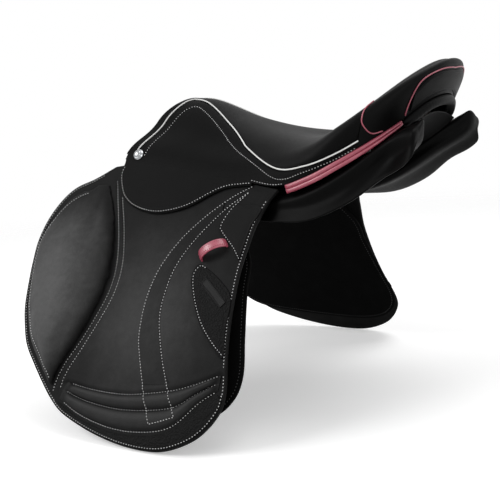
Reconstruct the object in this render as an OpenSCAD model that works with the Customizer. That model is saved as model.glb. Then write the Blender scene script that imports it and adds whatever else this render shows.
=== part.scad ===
// Close-contact jumping saddle with hinged flaps, lifting skirts and girth straps
// Millimetres. +X runs back from pommel to cantle, -Y is the rider's left, +Z is up.
// The origin lies midway between the panels, level with their lowest line.

/* [Seat] */
// Length that the fore and aft places of the seat follow
seat_length = 440; // [400:5:480]
// Width of the seat over its widest part
seat_width = 270; // [250:2:290]
// Height of the cantle rim above the lowest panel line
seat_rise = 198; // [180:2:215]
// Thickness of the leather over the seat
cover_thickness = 3; // [2:0.5:4]
// Thickness of the foam under the cover
foam_thickness = 12; // [8:1:14]
// Thickness of the webbing across the tree
web_thickness = 1.5; // [1:0.5:2.5]
// Thickness of the tree
tree_thickness = 10; // [8:1:12]
// Width of the webbing across the tree
web_width = 40; // [30:2:56]
// Thickness of the steel plate under the head
head_plate_thickness = 2.5; // [2:0.5:3]
// Thickness of the leather that lines the gullet
lining_thickness = 1.6; // [1:0.2:2.5]
// Diameter of the piping round the seat
piping_diameter = 3; // [2.4:0.2:5]

/* [Flaps] */
// Fore and aft length of a flap
flap_length = 380; // [350:5:410]
// Drop of a flap down its slope
flap_drop = 390; // [360:5:420]
// Lean of the flaps from upright
flap_tilt = 30; // [26:0.5:32]
// Thickness of a flap
flap_thickness = 5; // [4:0.5:6]
// Thickness of a skirt
skirt_thickness = 3.5; // [2.5:0.5:4]
// Crown of a knee pad above the flap
knee_crown = 17; // [10:1:22]
// Edge thickness of a knee pad
knee_edge = 1.2; // [0.8:0.2:2]
// Crown of the ribs above the flap
rib_crown = 4; // [3:0.5:8]
// Edge thickness of the ribs
rib_edge = 0.8; // [0.6:0.2:1.6]
// Thickness of the grained hem
hem_thickness = 1.2; // [0.8:0.2:2]
// Thickness of the sewn band
band_thickness = 0.8; // [0.6:0.2:1.4]
// Thickness of the two patches
patch_thickness = 1.6; // [1:0.2:2.2]
// Length of the bare label plate
label_length = 48; // [38:1:54]
// Width of the bare label plate
label_width = 11; // [8:1:14]
// Thickness of the bare label plate
label_thickness = 1.2; // [0.8:0.2:2]
// Span of the arched keeper
keeper_span = 42; // [34:1:50]
// Width of the arched keeper
keeper_width = 12; // [8:1:14]
// Rise of the arched keeper
keeper_rise = 15; // [12:1:17]
// Thickness of the arched keeper
keeper_thickness = 3; // [2:0.5:4]

/* [Sweat flaps and straps] */
// Thickness of a sweat flap
sweat_thickness = 3.5; // [2.5:0.5:4.5]
// Space between a flap and its sweat flap
sweat_space = 13; // [12:0.5:16]
// Width of a girth strap
strap_width = 25; // [20:1:28]
// Length of a girth strap
strap_length = 290; // [250:5:300]
// Thickness of a girth strap
strap_thickness = 3.6; // [3:0.2:4]
// Distance between the two straps
strap_pitch = 42; // [36:1:46]
// Diameter of a strap's punched holes
strap_hole_diameter = 6; // [4:0.5:8]
// Distance between punched holes
strap_hole_pitch = 22; // [18:1:26]
// Number of punched holes
strap_holes = 7; // [4:1:8]
// Diameter of the rivet that a strap hangs on
strap_rivet_diameter = 8; // [6:0.5:10]
// Diameter of that rivet's head
strap_head_diameter = 14; // [12:1:18]
// Thickness of the girth web
girth_web_thickness = 1.5; // [1:0.1:1.7]

/* [Stirrup bars] */
// Length of a stirrup bar
bar_length = 80; // [70:1:86]
// Height of a stirrup bar
bar_height = 11; // [9:0.5:13]
// Thickness of a stirrup bar
bar_thickness = 3.6; // [3:0.2:4.4]
// Height of its plate
bar_plate_height = 18; // [16:1:20]
// Thickness of its plate
bar_plate_thickness = 2.5; // [2:0.5:3]
// Gap between plate and bar for a stirrup leather
bar_slot = 6.3; // [6:0.1:6.6]
// Length of the safety latch past its pin
latch_length = 22; // [18:1:24]
// Diameter of the latch pin
latch_pin_diameter = 4; // [3:0.5:5]
// Diameter of the plate rivets
bar_rivet_diameter = 6; // [5:0.5:7]

/* [Panels and trim] */
// Width of the double welt between seat and panel
welt_width = 11; // [9:1:16]
// Thickness of the double welt
welt_thickness = 7; // [5:0.5:9]
// Diameter of the roll under the cantle
roll_diameter = 14; // [10:1:16]
// Diameter of the piping on the cantle
cantle_piping_diameter = 2.6; // [2:0.2:4]
// Thickness of the bare cantle plate
plate_thickness = 1.6; // [1:0.2:2.4]
// Thickness of the facing in front of the pommel
pommel_facing_thickness = 2.4; // [1.6:0.2:3.2]
// Diameter of the round skirt nails
nail_diameter = 16; // [12:1:18]
// Rise of the round skirt nails
nail_rise = 5; // [3:0.5:7]

/* [Hidden] */

// Clearances
seat_gap = 0.3;
fold_gap = 0.4;
skirt_gap = 0.5;
pin_gap = 0.2;
cut = 1;
fine = 48;

// Halves and the planes across a flap's thickness, counted from its inner face
seat_half = seat_width / 2;
flap_inner = 0;
flap_outer = flap_thickness;
skirt_inner = flap_outer + skirt_gap;
skirt_outer = skirt_inner + skirt_thickness;
sweat_outer = -sweat_space;
sweat_inner = sweat_outer - sweat_thickness;
shell_depth = cover_thickness + foam_thickness + web_thickness + 3 * seat_gap;
point_outer = skirt_outer - shell_depth;
point_inner = point_outer - tree_thickness;
plate_inner = point_outer + seat_gap;
plate_outer = plate_inner + bar_plate_thickness;
bar_inner = plate_outer + bar_slot;
bar_outer = bar_inner + bar_thickness;
girth_web_outer = plate_inner + girth_web_thickness;
strap_inner = girth_web_outer + seat_gap;
strap_outer = strap_inner + strap_thickness;

// Where a flap's frame starts, as shares of the seat's half width and rise
flap_half_share = 0.764;
flap_rise_share = 0.437;
flap_half = flap_half_share * seat_half;
flap_rise = flap_rise_share * seat_rise;

// Ends of the fold line, fore and aft as shares of the flap length, down as shares of its drop
fold_front_shares = [-0.555, 0.005];
fold_rear_shares = [0.113, 0.113];
fold_front = [fold_front_shares[0] * flap_length, fold_front_shares[1] * flap_drop];
fold_rear = [fold_rear_shares[0] * flap_length, fold_rear_shares[1] * flap_drop];
function fold_at(u) = fold_front[1] + (fold_rear[1] - fold_front[1]) * (u - fold_front[0])
  / (fold_rear[0] - fold_front[0]);

// Smooth curves through rows of numbers
function row_at(rows, i) = i < 0 ? 2 * rows[0] - rows[1]
  : i > len(rows) - 1 ? 2 * rows[len(rows) - 1] - rows[len(rows) - 2] : rows[i];
function blend_rows(a, b, c, d, t) = (2 * b + (c - a) * t + (2 * a - 5 * b + 4 * c - d) * t * t
  + (3 * b - a - 3 * c + d) * t * t * t) / 2;
function smooth_row(rows, s) = let (i = min(floor(s), len(rows) - 2))
  blend_rows(row_at(rows, i - 1), rows[i], rows[i + 1], row_at(rows, i + 2), s - i);
function open_curve(rows, steps) = [for (k = [0 : (len(rows) - 1) * steps]) smooth_row(rows, k / steps)];
function closed_curve(rows, steps) = let (n = len(rows)) [for (k = [0 : n * steps - 1])
  let (i = floor(k / steps), t = k / steps - i)
  blend_rows(rows[(i + n - 1) % n], rows[i], rows[(i + 1) % n], rows[(i + 2) % n], t)];
function bezier(a, b, c, d, t) = let (u = 1 - t)
  u * u * u * a + 3 * u * u * t * b + 3 * u * t * t * c + t * t * t * d;
function unit(p) = p / norm(p);
function mirrored(p) = [p[0], -p[1], p[2]];

// A place on a left flap: u back, v down the slope, n out from its inner face
function flap_point(u, v, n) = [u, -(flap_half + v * sin(flap_tilt) + n * cos(flap_tilt)),
  flap_rise - v * cos(flap_tilt) + n * sin(flap_tilt)];

// Seat stations, front to back. Shares of length, rise and half width: spine place, height and slope,
// rim place, half width, height and lean, then lower edge place, half width, height and lean
seat_station_shares = [
  [-0.370, 0.843, 0, -0.428, 0.415, 0.697, -48, -0.480, 0, 0, -60],
  [-0.289, 0.818, -0.30, -0.295, 0.444, 0.667, -46, -0.332, 0, 0, -60],
  [-0.164, 0.692, -0.40, -0.164, 0.548, 0.571, -44, -0.177, 0, 0, -60],
  [-0.045, 0.606, -0.26, -0.041, 0.667, 0.505, -38, -0.034, 0, 0, -62],
  [0.068, 0.556, -0.16, 0.082, 0.785, 0.475, -32, 0.091, 0, 0, -76],
  [0.141, 0.535, -0.06, 0.195, 0.859, 0.525, -18, 0.191, 1.000, 0.328, -92],
  [0.191, 0.535, 0.03, 0.291, 0.867, 0.636, -4, 0.282, 0.941, 0.424, -100],
  [0.223, 0.543, 0.14, 0.377, 0.785, 0.758, 0, 0.368, 0.815, 0.530, -104],
  [0.255, 0.558, 0.28, 0.461, 0.578, 0.894, 0, 0.436, 0.607, 0.638, -106],
  [0.282, 0.581, 0.42, 0.505, 0.296, 0.970, 0, 0.484, 0.311, 0.748, -106],
  [0.295, 0.596, 0.48, 0.516, 0.000, 0.995, 0, 0.498, 0.000, 0.776, -106]];
last_station = len(seat_station_shares) - 1;
fold_stations = 5;
inner_handle_share = 0.36;
outer_handle_share = 0.40;
normal_step = 0.02;
function edge_row(i) = let (r = seat_station_shares[i], u = r[7] * seat_length,
  p = flap_point(u, fold_at(u) - fold_gap, skirt_outer))
  i < fold_stations ? [p[0], -p[1], p[2]] : [u, r[8] * seat_half, r[9] * seat_rise];
function station_row(i) = let (r = seat_station_shares[i], e = edge_row(i))
  [r[0] * seat_length, r[1] * seat_rise, r[2], r[3] * seat_length, r[4] * seat_half, r[5] * seat_rise, r[6],
  e[0], e[1], e[2], r[10]];
function mirror_row(r) = [r[0], r[1], r[2], r[3], -r[4], r[5], r[6], r[7], -r[8], r[9], r[10]];
seat_rows = concat([for (i = [0 : last_station]) station_row(i)],
  [mirror_row(station_row(last_station - 1))]);

// A place on the seat's outer surface at station s: v is 0 on the spine, 1 on the rim, 2 on the lower edge
function seat_section(r, v) = let (a = [r[0], 0, r[1]], b = [r[3], r[4], r[5]], c = [r[7], r[8], r[9]],
  out = unit([c[0] - a[0], c[1], 0]), ray = unit([max(0, b[0] - a[0]), b[1], 0]), up = [0, 0, 1],
  start = ray + up * r[2] * ray[0], rim = out * cos(r[6]) + up * sin(r[6]),
  last = out * cos(r[10]) + up * sin(r[10]), d = norm(b - a) * inner_handle_share,
  e = norm(c - b) * outer_handle_share)
  v <= 1 ? bezier(a, a + start * d, b - rim * d, b, v) : bezier(b, b + rim * e, c - last * e, c, v - 1);
function seat_point(s, v) = seat_section(smooth_row(seat_rows, s), v);
function spine_normal(s) = unit([-smooth_row(seat_rows, s)[2], 0, 1]);
function seat_normal(s, v) = let (s_low = max(0, s - normal_step), v_high = min(2, v + normal_step),
  along = seat_point(s + normal_step, v) - seat_point(s_low, v),
  across = seat_point(s, v_high) - seat_point(s, v - normal_step))
  v < normal_step ? spine_normal(s) : unit(cross(along, across));
function seat_place(s, v, depth) = let (p = seat_point(s, v) - depth * seat_normal(s, v))
  [p[0], -p[1], p[2]];

// Edge of the seat cover, as a section share at each station: along the sides, then up to the cantle's rim
station_steps = 3;
side_last = 20 / station_steps;
cover_edge_shares = [[0.20], [0.28], [0.65], [1.08], [1.55], [1.73], [1.84], [1.84]];
rim_edge_shares = [[side_last, 1.84], [6.72, 1.43], [6.81, 1.13], [7.06, 1.00], [last_station, 1.00]];
function cover_edge(s) = s <= side_last ? smooth_row(cover_edge_shares, s)[0] : lookup(s, rim_edge_shares);
function stations(from, to) = [for (k = [round(from * station_steps) : round(to * station_steps)])
  k / station_steps];
rim_stations = concat([for (k = [1 : 2]) rim_edge_shares[k][0]], stations(side_last + 1 / station_steps,
  last_station));

// Closed solids from grids of places
function grid_faces(rows, cols, joined) = let (half = (cols - 1) / 2,
  at = function (layer, i, j) layer * rows * cols + i * cols + (joined && i == rows - 1 && j < half
  ? cols - 1 - j : j))
  concat(
    [for (i = [0 : rows - 2], j = [0 : cols - 2], k = [0, 1]) let (a = at(0, i, j), b = at(0, i, j + 1),
      c = at(0, i + 1, j + 1), d = at(0, i + 1, j)) k == 0 ? [a, b, c] : [a, c, d]],
    [for (i = [0 : rows - 2], j = [0 : cols - 2], k = [0, 1]) let (a = at(1, i, j), b = at(1, i, j + 1),
      c = at(1, i + 1, j + 1), d = at(1, i + 1, j)) k == 0 ? [c, b, a] : [d, c, a]],
    [for (i = [0 : rows - 2], j = [0, cols - 1], k = [0, 1]) let (a = at(0, i, j), b = at(0, i + 1, j),
      c = at(1, i + 1, j), d = at(1, i, j), f = k == 0 ? [a, b, c] : [a, c, d])
      j == 0 ? f : [f[2], f[1], f[0]]],
    [for (j = [0 : cols - 2], i = joined ? [0] : [0, rows - 1], k = [0, 1]) let (a = at(0, i, j),
      b = at(0, i, j + 1), c = at(1, i, j + 1), d = at(1, i, j), f = k == 0 ? [c, b, a] : [d, c, a])
      i == 0 ? f : [f[2], f[1], f[0]]]);
function used_faces(faces) = [for (f = faces) if (f[0] != f[1] && f[1] != f[2] && f[0] != f[2]) f];
module sheet(outer, inner, joined = false) {
  rows = len(outer);
  cols = len(outer[0]);
  polyhedron([for (g = [outer, inner], r = g, p = r) p], used_faces(grid_faces(rows, cols, joined)));
}
module seat_patch(ss, cols, reach, top, depth, joined = false) {
  layer = function (t) [for (s = ss) [for (j = [-cols : cols])
    let (p = seat_place(s, reach(s) * abs(j) / cols, t)) j < 0 ? p : mirrored(p)]];
  sheet(layer(top), layer(top + depth), joined);
}
module side_patch(ss, cols, from, to, top, depth) {
  layer = function (t) [for (s = ss) [for (j = [0 : cols])
    seat_place(s, to(s) + (from(s) - to(s)) * j / cols, t)]];
  sheet(layer(top), layer(top + depth));
}
module tube(rings) {
  n = len(rings[0]);
  m = len(rings);
  polyhedron([for (r = rings, p = r) p], concat(
    [for (i = [0 : m - 2], j = [0 : n - 1], k = [0, 1]) let (a = i * n + j, b = i * n + (j + 1) % n,
      c = a + n, d = b + n) k == 0 ? [a, d, b] : [a, c, d]],
    [for (j = [1 : n - 2]) [0, j, j + 1]],
    [for (j = [1 : n - 2]) let (e = (m - 1) * n) [e, e + j + 1, e + j]]));
}
function round_ring(p, along, out, r, sides) = let (t = unit(along), q = unit(out - t * (out * t)),
  w = cross(t, q))
  [for (k = [0 : sides - 1]) p + r * (q * cos(360 * k / sides) + w * sin(360 * k / sides))];
function path_along(path, i) = path[min(i + 1, len(path) - 1)] - path[max(i - 1, 0)];
module on_right() { mirror([0, 1, 0]) children(); }
module on_flap() {
  translate([0, -flap_half, flap_rise]) rotate([90 - flap_tilt, 0, 0]) children();
}
// A flat piece of a flap's frame between two planes
module flat_piece(points, low, high) {
  translate([0, 0, low]) linear_extrude(high - low) polygon([for (p = points) [p[0], -p[1]]]);
}
function flap_places(shares) = [for (p = shares) [p[0] * flap_length, p[1] * flap_drop]];

// Seat
foam_top = cover_thickness + seat_gap;
web_top = foam_top + foam_thickness + seat_gap;
tree_top = web_top + web_thickness + seat_gap;
head_top = tree_top + tree_thickness + seat_gap;
cover_columns = 16;
side_columns = 9;
foam_edge_share = 0.8;
foam_limit_share = 0.85;
module seat_cover() {
  color("#26262a") seat_patch(concat(stations(0, side_last), rim_stations), cover_columns,
    function (s) cover_edge(s), 0, cover_thickness, true);
}
module seat_foam() {
  color("#d8cfa8") seat_patch(concat(stations(1 / station_steps, side_last), rim_stations), cover_columns - 1,
    function (s) foam_edge_share * min(cover_edge(s), foam_limit_share), foam_top, foam_thickness, true);
}
head_last = 7 / station_steps;
cantle_first = 23 / station_steps;
web_first = 5 / station_steps;
web_last = 25 / station_steps;
function web_reach(s) = web_width / 2 / norm(seat_point(s, 1) - seat_point(s, 0));
module seat_webbing() {
  color("#cfc8b8") seat_patch(stations(web_first, web_last), 2, function (s) web_reach(s), web_top,
    web_thickness);
}
tree_reach_shares = [[1.978], [1.978], [1.978], [1.94], [1.52], [1.16], [0.90], [0.70], [0.52], [0.42], [0.40]];
tree_columns = 8;
rail_columns = tree_columns / 2;
head_columns = 6;
function tree_reach(s) = smooth_row(tree_reach_shares, s)[0];
function rail_start(s) = tree_reach(s) * rail_columns / tree_columns;
module tree_head() {
  color("#b58a55") seat_patch(stations(1 / station_steps, head_last), tree_columns,
    function (s) tree_reach(s), tree_top, tree_thickness);
}
module tree_rail_left() {
  color("#b58a55") side_patch(stations(head_last, cantle_first), rail_columns, function (s) rail_start(s),
    function (s) tree_reach(s), tree_top, tree_thickness);
}
module tree_rail_right() { on_right() tree_rail_left(); }
cantle_drop = 8 * seat_gap;
module tree_cantle() {
  color("#b58a55") seat_patch(stations(cantle_first, last_station), tree_columns, function (s) tree_reach(s),
    tree_top + cantle_drop, tree_thickness, true);
}
module head_plate() {
  color("#8d9298") seat_patch(stations(2 / station_steps, 4 / station_steps), head_columns,
    function (s) tree_reach(s) * head_columns / tree_columns,
    head_top, head_plate_thickness);
}
module seat_side_left() {
  color("#2b2b2f") side_patch(stations(0, side_last), side_columns, function (s) cover_edge(s),
    function (s) 2, 0, cover_thickness);
}
module seat_side_right() { on_right() seat_side_left(); }

// White piping: up behind the front edge, then back along the edge of the cover
piping_radius = piping_diameter / 2;
piping_lift = piping_radius + seat_gap;
piping_sides = 8;
front_run_station = 0.2;
front_run_share = 1.8;
front_steps = 7;
piping_route = concat(
  [for (k = [0 : front_steps])
    [front_run_station, front_run_share + (cover_edge(front_run_station) - front_run_share) * k / front_steps]],
  [for (s = stations(2 / station_steps, side_last)) [s, cover_edge(s)]]);
piping_path = [for (q = piping_route) seat_place(q[0], q[1], -piping_lift)];
module piping_left() {
  tube([for (i = [0 : len(piping_path) - 1]) let (q = piping_route[i], a = seat_place(q[0], q[1], 0))
    round_ring(piping_path[i], path_along(piping_path, i), piping_path[i] - a, piping_radius, piping_sides)]);
}
module seat_piping() {
  color("#f0f0ee") {
    piping_left();
    on_right() piping_left();
  }
}

// Cantle: facing, bare plate, piping and roll
facing_stations = concat([side_last], rim_stations);
facing_columns = 10;
seam_share = 0.012;
steep_seam_share = 0.06;
function facing_top(s) = cover_edge(s) + (s < rim_edge_shares[3][0] ? steep_seam_share : seam_share);
function around(ss) = concat([for (s = ss) [s, -1]], [for (k = [1 : len(ss) - 1]) [ss[len(ss) - 1 - k], 1]]);
function sided(p, side) = side < 0 ? p : mirrored(p);
module cantle_facing() {
  layer = function (t) [for (q = around(facing_stations)) [for (j = [0 : facing_columns])
    sided(seat_place(q[0], 2 + (facing_top(q[0]) - 2) * j / facing_columns, t), q[1])]];
  color("#232327") sheet(layer(0), layer(cover_thickness));
}
function between(first, last, steps) = [for (k = [0 : steps]) first + (last - first) * k / steps];
plate_first = 8.26;
plate_steps = 10;
plate_stations = between(plate_first, last_station, plate_steps);
plate_top_shares = [[1.60], [1.43], [1.435], [1.47], [1.50]];
plate_bottom_share = 1.93;
function plate_top(s) = smooth_row(plate_top_shares,
  (s - plate_first) / (last_station - plate_first) * (len(plate_top_shares) - 1))[0];
plate_columns = 6;
plate_gap = 2 * seat_gap;
plate_lift = plate_thickness + plate_gap;
module cantle_plate() {
  row = function (s, j) plate_bottom_share + (plate_top(s) - plate_bottom_share) * j / plate_columns;
  layer = function (t) [for (q = around(plate_stations)) [for (j = [0 : plate_columns])
    sided(seat_place(q[0], row(q[0], j), t), q[1])]];
  color("#2f2f33") sheet(layer(-plate_lift), layer(-plate_gap));
}
cantle_piping_radius = cantle_piping_diameter / 2;
cantle_piping_lift = cantle_piping_radius + seat_gap;
plate_piping_shares = [[8.12, 1.95], [8.16, 1.77], [8.24, 1.55], [8.36, 1.42], [8.60, 1.37], [9.10, 1.375],
  [9.60, 1.41], [last_station, 1.44]];
plate_piping_rows = open_curve(plate_piping_shares, station_steps);
plate_piping_route = [for (q = around(plate_piping_rows)) [q[0][0], q[0][1], q[1]]];
side_piping_route_shares = [[7.06, 1.00], [6.81, 1.13], [6.72, 1.43], [6.85, 1.67], [7.08, 1.87], [7.40, 1.96]];
side_piping_route = open_curve(side_piping_route_shares, station_steps);
module surface_cord(route, r, lift) {
  path = [for (q = route) sided(seat_place(q[0], q[1], -lift), len(q) > 2 ? q[2] : -1)];
  base = [for (q = route) sided(seat_place(q[0], q[1], 0), len(q) > 2 ? q[2] : -1)];
  tube([for (i = [0 : len(path) - 1]) round_ring(path[i], path_along(path, i), path[i] - base[i], r,
    piping_sides)]);
}
module cantle_piping() {
  color("#d8788c") {
    surface_cord(plate_piping_route, cantle_piping_radius, cantle_piping_lift);
    surface_cord(side_piping_route, cantle_piping_radius, cantle_piping_lift);
    on_right() surface_cord(side_piping_route, cantle_piping_radius, cantle_piping_lift);
  }
}
roll_radius = roll_diameter / 2;
roll_first = 8.1;
roll_drop = 5 * seat_gap;
roll_inset = 10 * seat_gap;
roll_path = [for (q = around(between(roll_first, last_station, plate_steps)))
  sided(seat_place(q[0], 2, roll_inset) - [0, 0, roll_radius + roll_drop], q[1])];
module cantle_roll() {
  color("#1f1f22") tube([for (i = [0 : len(roll_path) - 1])
    round_ring(roll_path[i], path_along(roll_path, i), [0, 0, 1], roll_radius, 10)]);
}

// Front of the pommel
front_reach_share = 1.9;
front_columns = 9;
module pommel_facing() {
  layer = function (x) [for (t = [0, head_top]) [for (j = [-front_columns : front_columns])
    let (p = seat_place(0, front_reach_share * abs(j) / front_columns, t) - [x, 0, 0])
    j < 0 ? p : mirrored(p)]];
  color("#2a2a2e") sheet(layer(seat_gap), layer(seat_gap + pommel_facing_thickness));
}

// Double welt along the seat's lower edge
welt_first = 13 / station_steps;
welt_last = 24 / station_steps;
welt_stations = [for (k = [0 : 16]) welt_first + (welt_last - welt_first) * k / 16];
welt_front = [for (k = [0 : 10]) [k / 10, abs(sin(360 * k / 10))]];
welt_crown_share = 0.45;
welt_end_share = 0.5;
function welt_size(k) = 1 - welt_end_share * pow(k / 16, 3);
module rear_welt_left() {
  base = [for (s = welt_stations) seat_place(s, 2, 0)];
  color("#d8788c") tube([for (i = [0 : 16]) let (t = unit(path_along(base, i)),
    down = unit([0, 0, -1] + t * t[2]), out = cross(down, t), w = welt_width * welt_size(i),
    d = welt_thickness / 2, top = base[i] + down * seat_gap)
    concat([for (q = welt_front) top + down * w * q[0] + out * d * (1 - welt_crown_share + welt_crown_share
    * q[1])], [top + down * w - out * d, top - out * d])]);
}
module rear_welt_right() { on_right() rear_welt_left(); }

// Panels: shares of length, half width and rise at each section, then the swell of the outer side
panel_section_shares = [
  [-0.455, 0.40, 0.46, 0.42, 0.38, 0.67, 0.22, 0.64, 0.30, 0.00],
  [-0.415, 0.31, 0.53, 0.33, 0.29, 0.930, 0.06, 0.68, 0.33, 0.10],
  [-0.295, 0.30, 0.48, 0.32, 0.24, 0.982, 0.00, 0.70, 0.30, 0.08],
  [-0.160, 0.29, 0.41, 0.31, 0.18, 0.986, 0.00, 0.75, 0.24, 0.06],
  [-0.023, 0.29, 0.35, 0.31, 0.13, 0.971, 0.02, 0.80, 0.19, 0.06],
  [0.090, 0.30, 0.32, 0.33, 0.11, 1.06, 0.03, 0.93, 0.17, 0.12],
  [0.204, 0.31, 0.32, 0.36, 0.13, 1.10, 0.05, 0.98, 0.23, 0.19],
  [0.318, 0.34, 0.38, 0.40, 0.23, 1.03, 0.155, 0.92, 0.36, 0.18],
  [0.410, 0.40, 0.49, 0.46, 0.37, 0.93, 0.30, 0.82, 0.505, 0.18],
  [0.466, 0.50, 0.595, 0.54, 0.46, 0.95, 0.36, 0.84, 0.585, 0.16],
  [0.496, 0.58, 0.665, 0.60, 0.52, 0.95, 0.41, 0.88, 0.60, 0.14],
  [0.508, 0.68, 0.63, 0.69, 0.55, 0.90, 0.455, 0.87, 0.57, 0.10]];
panel_steps = 3;
panel_crown_share = 0.07;
panel_draw_share = 0.05;
panel_ring_steps = 3;
function panel_place(q) = [q[0] * seat_half, q[1] * seat_rise];
function swell(a, b, share) = (a + b) / 2 + share * [b[1] - a[1], a[0] - b[0]];
function panel_ring(r) = let (a = panel_place([r[1], r[2]]), b = panel_place([r[3], r[4]]),
  c = panel_place([r[5], r[6]]), d = panel_place([r[7], r[8]]))
  [for (q = closed_curve([a, swell(a, b, panel_draw_share), b, swell(b, c, -panel_crown_share), c,
  swell(c, d, -r[9]), d, swell(d, a, panel_draw_share)], panel_ring_steps))
  [r[0] * seat_length, -q[0], q[1]]];
module panel_left() {
  rows = open_curve(panel_section_shares, panel_steps);
  color("#202023") tube([for (r = rows) let (ring = panel_ring(r))
    [for (k = [len(ring) - 1 : -1 : 0]) ring[k]]]);
}
module panel_right() { on_right() panel_left(); }

// Leather ceiling of the gullet, from one panel's inner edge to the other's
lining_first = 2;
lining_last = 27;
lining_columns = 3;
lining_crown_shares = [[0.09], [0.09], [0.09], [0.08], [0.07], [0.06], [0.05], [0.055], [0.07], [0.06],
  [0.015], [0.01]];
function lining_crown(s) = smooth_row(lining_crown_shares, s)[0] * seat_rise;
module gullet_lining() {
  layer = function (t) [for (k = [lining_first : lining_last]) let (s = k / panel_steps,
    r = smooth_row(panel_section_shares, s)) [for (j = [-lining_columns : lining_columns])
    let (f = j / lining_columns) [r[0] * seat_length, r[1] * seat_half * f,
    r[2] * seat_rise + seat_gap + lining_crown(s) * (1 - f * f) + t]]];
  color("#1d1d20") sheet(layer(lining_thickness), layer(0));
}

// Tree points, which carry the stirrup bars and the girth webs
point_shares = [[-0.513, 0.0], [-0.08, 0.0], [-0.08, 0.190], [-0.45, 0.190], [-0.513, 0.12]];
bar_front_share = -0.46;
bar_middle_share = 0.090;
bar_front = bar_front_share * flap_length;
bar_middle = bar_middle_share * flap_drop;
bar_back = bar_front + bar_length;
strap_pivot_share = 0.164;
strap_front_share = -0.26;
strap_pivot = strap_pivot_share * flap_drop;
strap_front_u = strap_front_share * flap_length;
strap_rear_u = strap_front_u + strap_pitch;
rivet_inset_share = 0.12;
rivet_places = [bar_front + bar_length * rivet_inset_share, bar_back - bar_length * 2 * rivet_inset_share];
module drill(u, v, d, low, high) {
  translate([u, -v, low]) cylinder(d = d, h = high - low, $fn = fine);
}
module tree_point_left() {
  places = [for (k = [0 : len(point_shares) - 1]) let (u = point_shares[k][0] * flap_length)
    [u, k < 2 ? fold_at(u) - fold_gap + seat_gap : point_shares[k][1] * flap_drop]];
  color("#b58a55") on_flap() difference() {
    flat_piece(places, point_inner, point_outer);
    for (u = rivet_places)
      drill(u, bar_middle, bar_rivet_diameter + pin_gap, point_inner - cut, point_outer + cut);
    for (u = [strap_front_u, strap_rear_u])
      drill(u, strap_pivot, strap_rivet_diameter + pin_gap, point_inner - cut, point_outer + cut);
  }
}
module tree_point_right() { on_right() tree_point_left(); }

// Stirrup bars
bar_neck = bar_thickness * 2;
bar_lap = bar_height;
lap_share = 0.45;
lap_outer = bar_inner + bar_thickness * lap_share;
latch_inner = lap_outer + pin_gap;
latch_pin_u = bar_back - bar_lap / 2;
module box_piece(u_low, u_high, v_low, v_high, low, high) {
  flat_piece([[u_low, v_low], [u_high, v_low], [u_high, v_high], [u_low, v_high]], low, high);
}
module stirrup_bar_left() {
  top = bar_middle - bar_height / 2;
  bottom = bar_middle + bar_height / 2;
  color("#c3c7cc") on_flap() difference() {
    union() {
      box_piece(bar_front - bar_neck, bar_back, bar_middle - bar_plate_height / 2,
        bar_middle + bar_plate_height / 2, plate_inner, plate_outer);
      box_piece(bar_front - bar_neck, bar_front, top, bottom, plate_outer - seat_gap, bar_outer);
      box_piece(bar_front - seat_gap, bar_back - bar_lap, top, bottom, bar_inner, bar_outer);
      box_piece(bar_back - bar_lap - seat_gap, bar_back, top, bottom, bar_inner, lap_outer);
      drill(latch_pin_u, bar_middle, latch_pin_diameter, bar_inner, bar_outer);
    }
    for (u = rivet_places)
      drill(u, bar_middle, bar_rivet_diameter + pin_gap, plate_inner - cut, plate_outer + cut);
  }
}
module stirrup_bar_right() { on_right() stirrup_bar_left(); }
module bar_latch_left() {
  half = bar_height / 2;
  color("#d5d8dc") on_flap() difference() {
    union() {
      drill(latch_pin_u, bar_middle, bar_height - pin_gap, latch_inner, bar_outer);
      box_piece(latch_pin_u, latch_pin_u + latch_length - half, bar_middle - half + pin_gap,
        bar_middle + half - pin_gap, latch_inner, bar_outer);
      drill(latch_pin_u + latch_length - half, bar_middle, bar_height - pin_gap, latch_inner, bar_outer);
    }
    drill(latch_pin_u, bar_middle, latch_pin_diameter + pin_gap, latch_inner - cut, bar_outer + cut);
  }
}
module bar_latch_right() { on_right() bar_latch_left(); }
module bar_rivets_left() {
  on_flap() for (u = rivet_places) drill(u, bar_middle, bar_rivet_diameter, point_inner, plate_outer);
}
module bar_rivets() {
  color("#9aa0a6") {
    bar_rivets_left();
    on_right() bar_rivets_left();
  }
}

// Girth webs, their rivets and the straps
web_margin = strap_width / 2;
web_rise_share = 0.7;
web_top_place = strap_pivot - strap_width * web_rise_share;
module girth_web_left() {
  color("#6d675c") on_flap() difference() {
    box_piece(strap_front_u - web_margin, strap_rear_u + web_margin, web_top_place, strap_pivot + web_margin,
      plate_inner, girth_web_outer);
    for (u = [strap_front_u, strap_rear_u])
      drill(u, strap_pivot, strap_rivet_diameter + pin_gap, plate_inner - cut, girth_web_outer + cut);
  }
}
module girth_web_right() { on_right() girth_web_left(); }
strap_head_share = 0.15;
strap_head_rise = strap_rivet_diameter * strap_head_share;
module strap_rivets_left() {
  on_flap() for (u = [strap_front_u, strap_rear_u]) {
    drill(u, strap_pivot, strap_rivet_diameter, point_inner, strap_outer + seat_gap);
    drill(u, strap_pivot, strap_head_diameter, strap_outer + seat_gap,
      strap_outer + seat_gap + strap_head_rise);
  }
}
module strap_rivets() {
  color("#b8a878") {
    strap_rivets_left();
    on_right() strap_rivets_left();
  }
}
strap_top_share = 0.56;
strap_tip_share = 0.35;
first_hole_share = 1.4;
strap_bore = strap_rivet_diameter + 2 * pin_gap;
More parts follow.
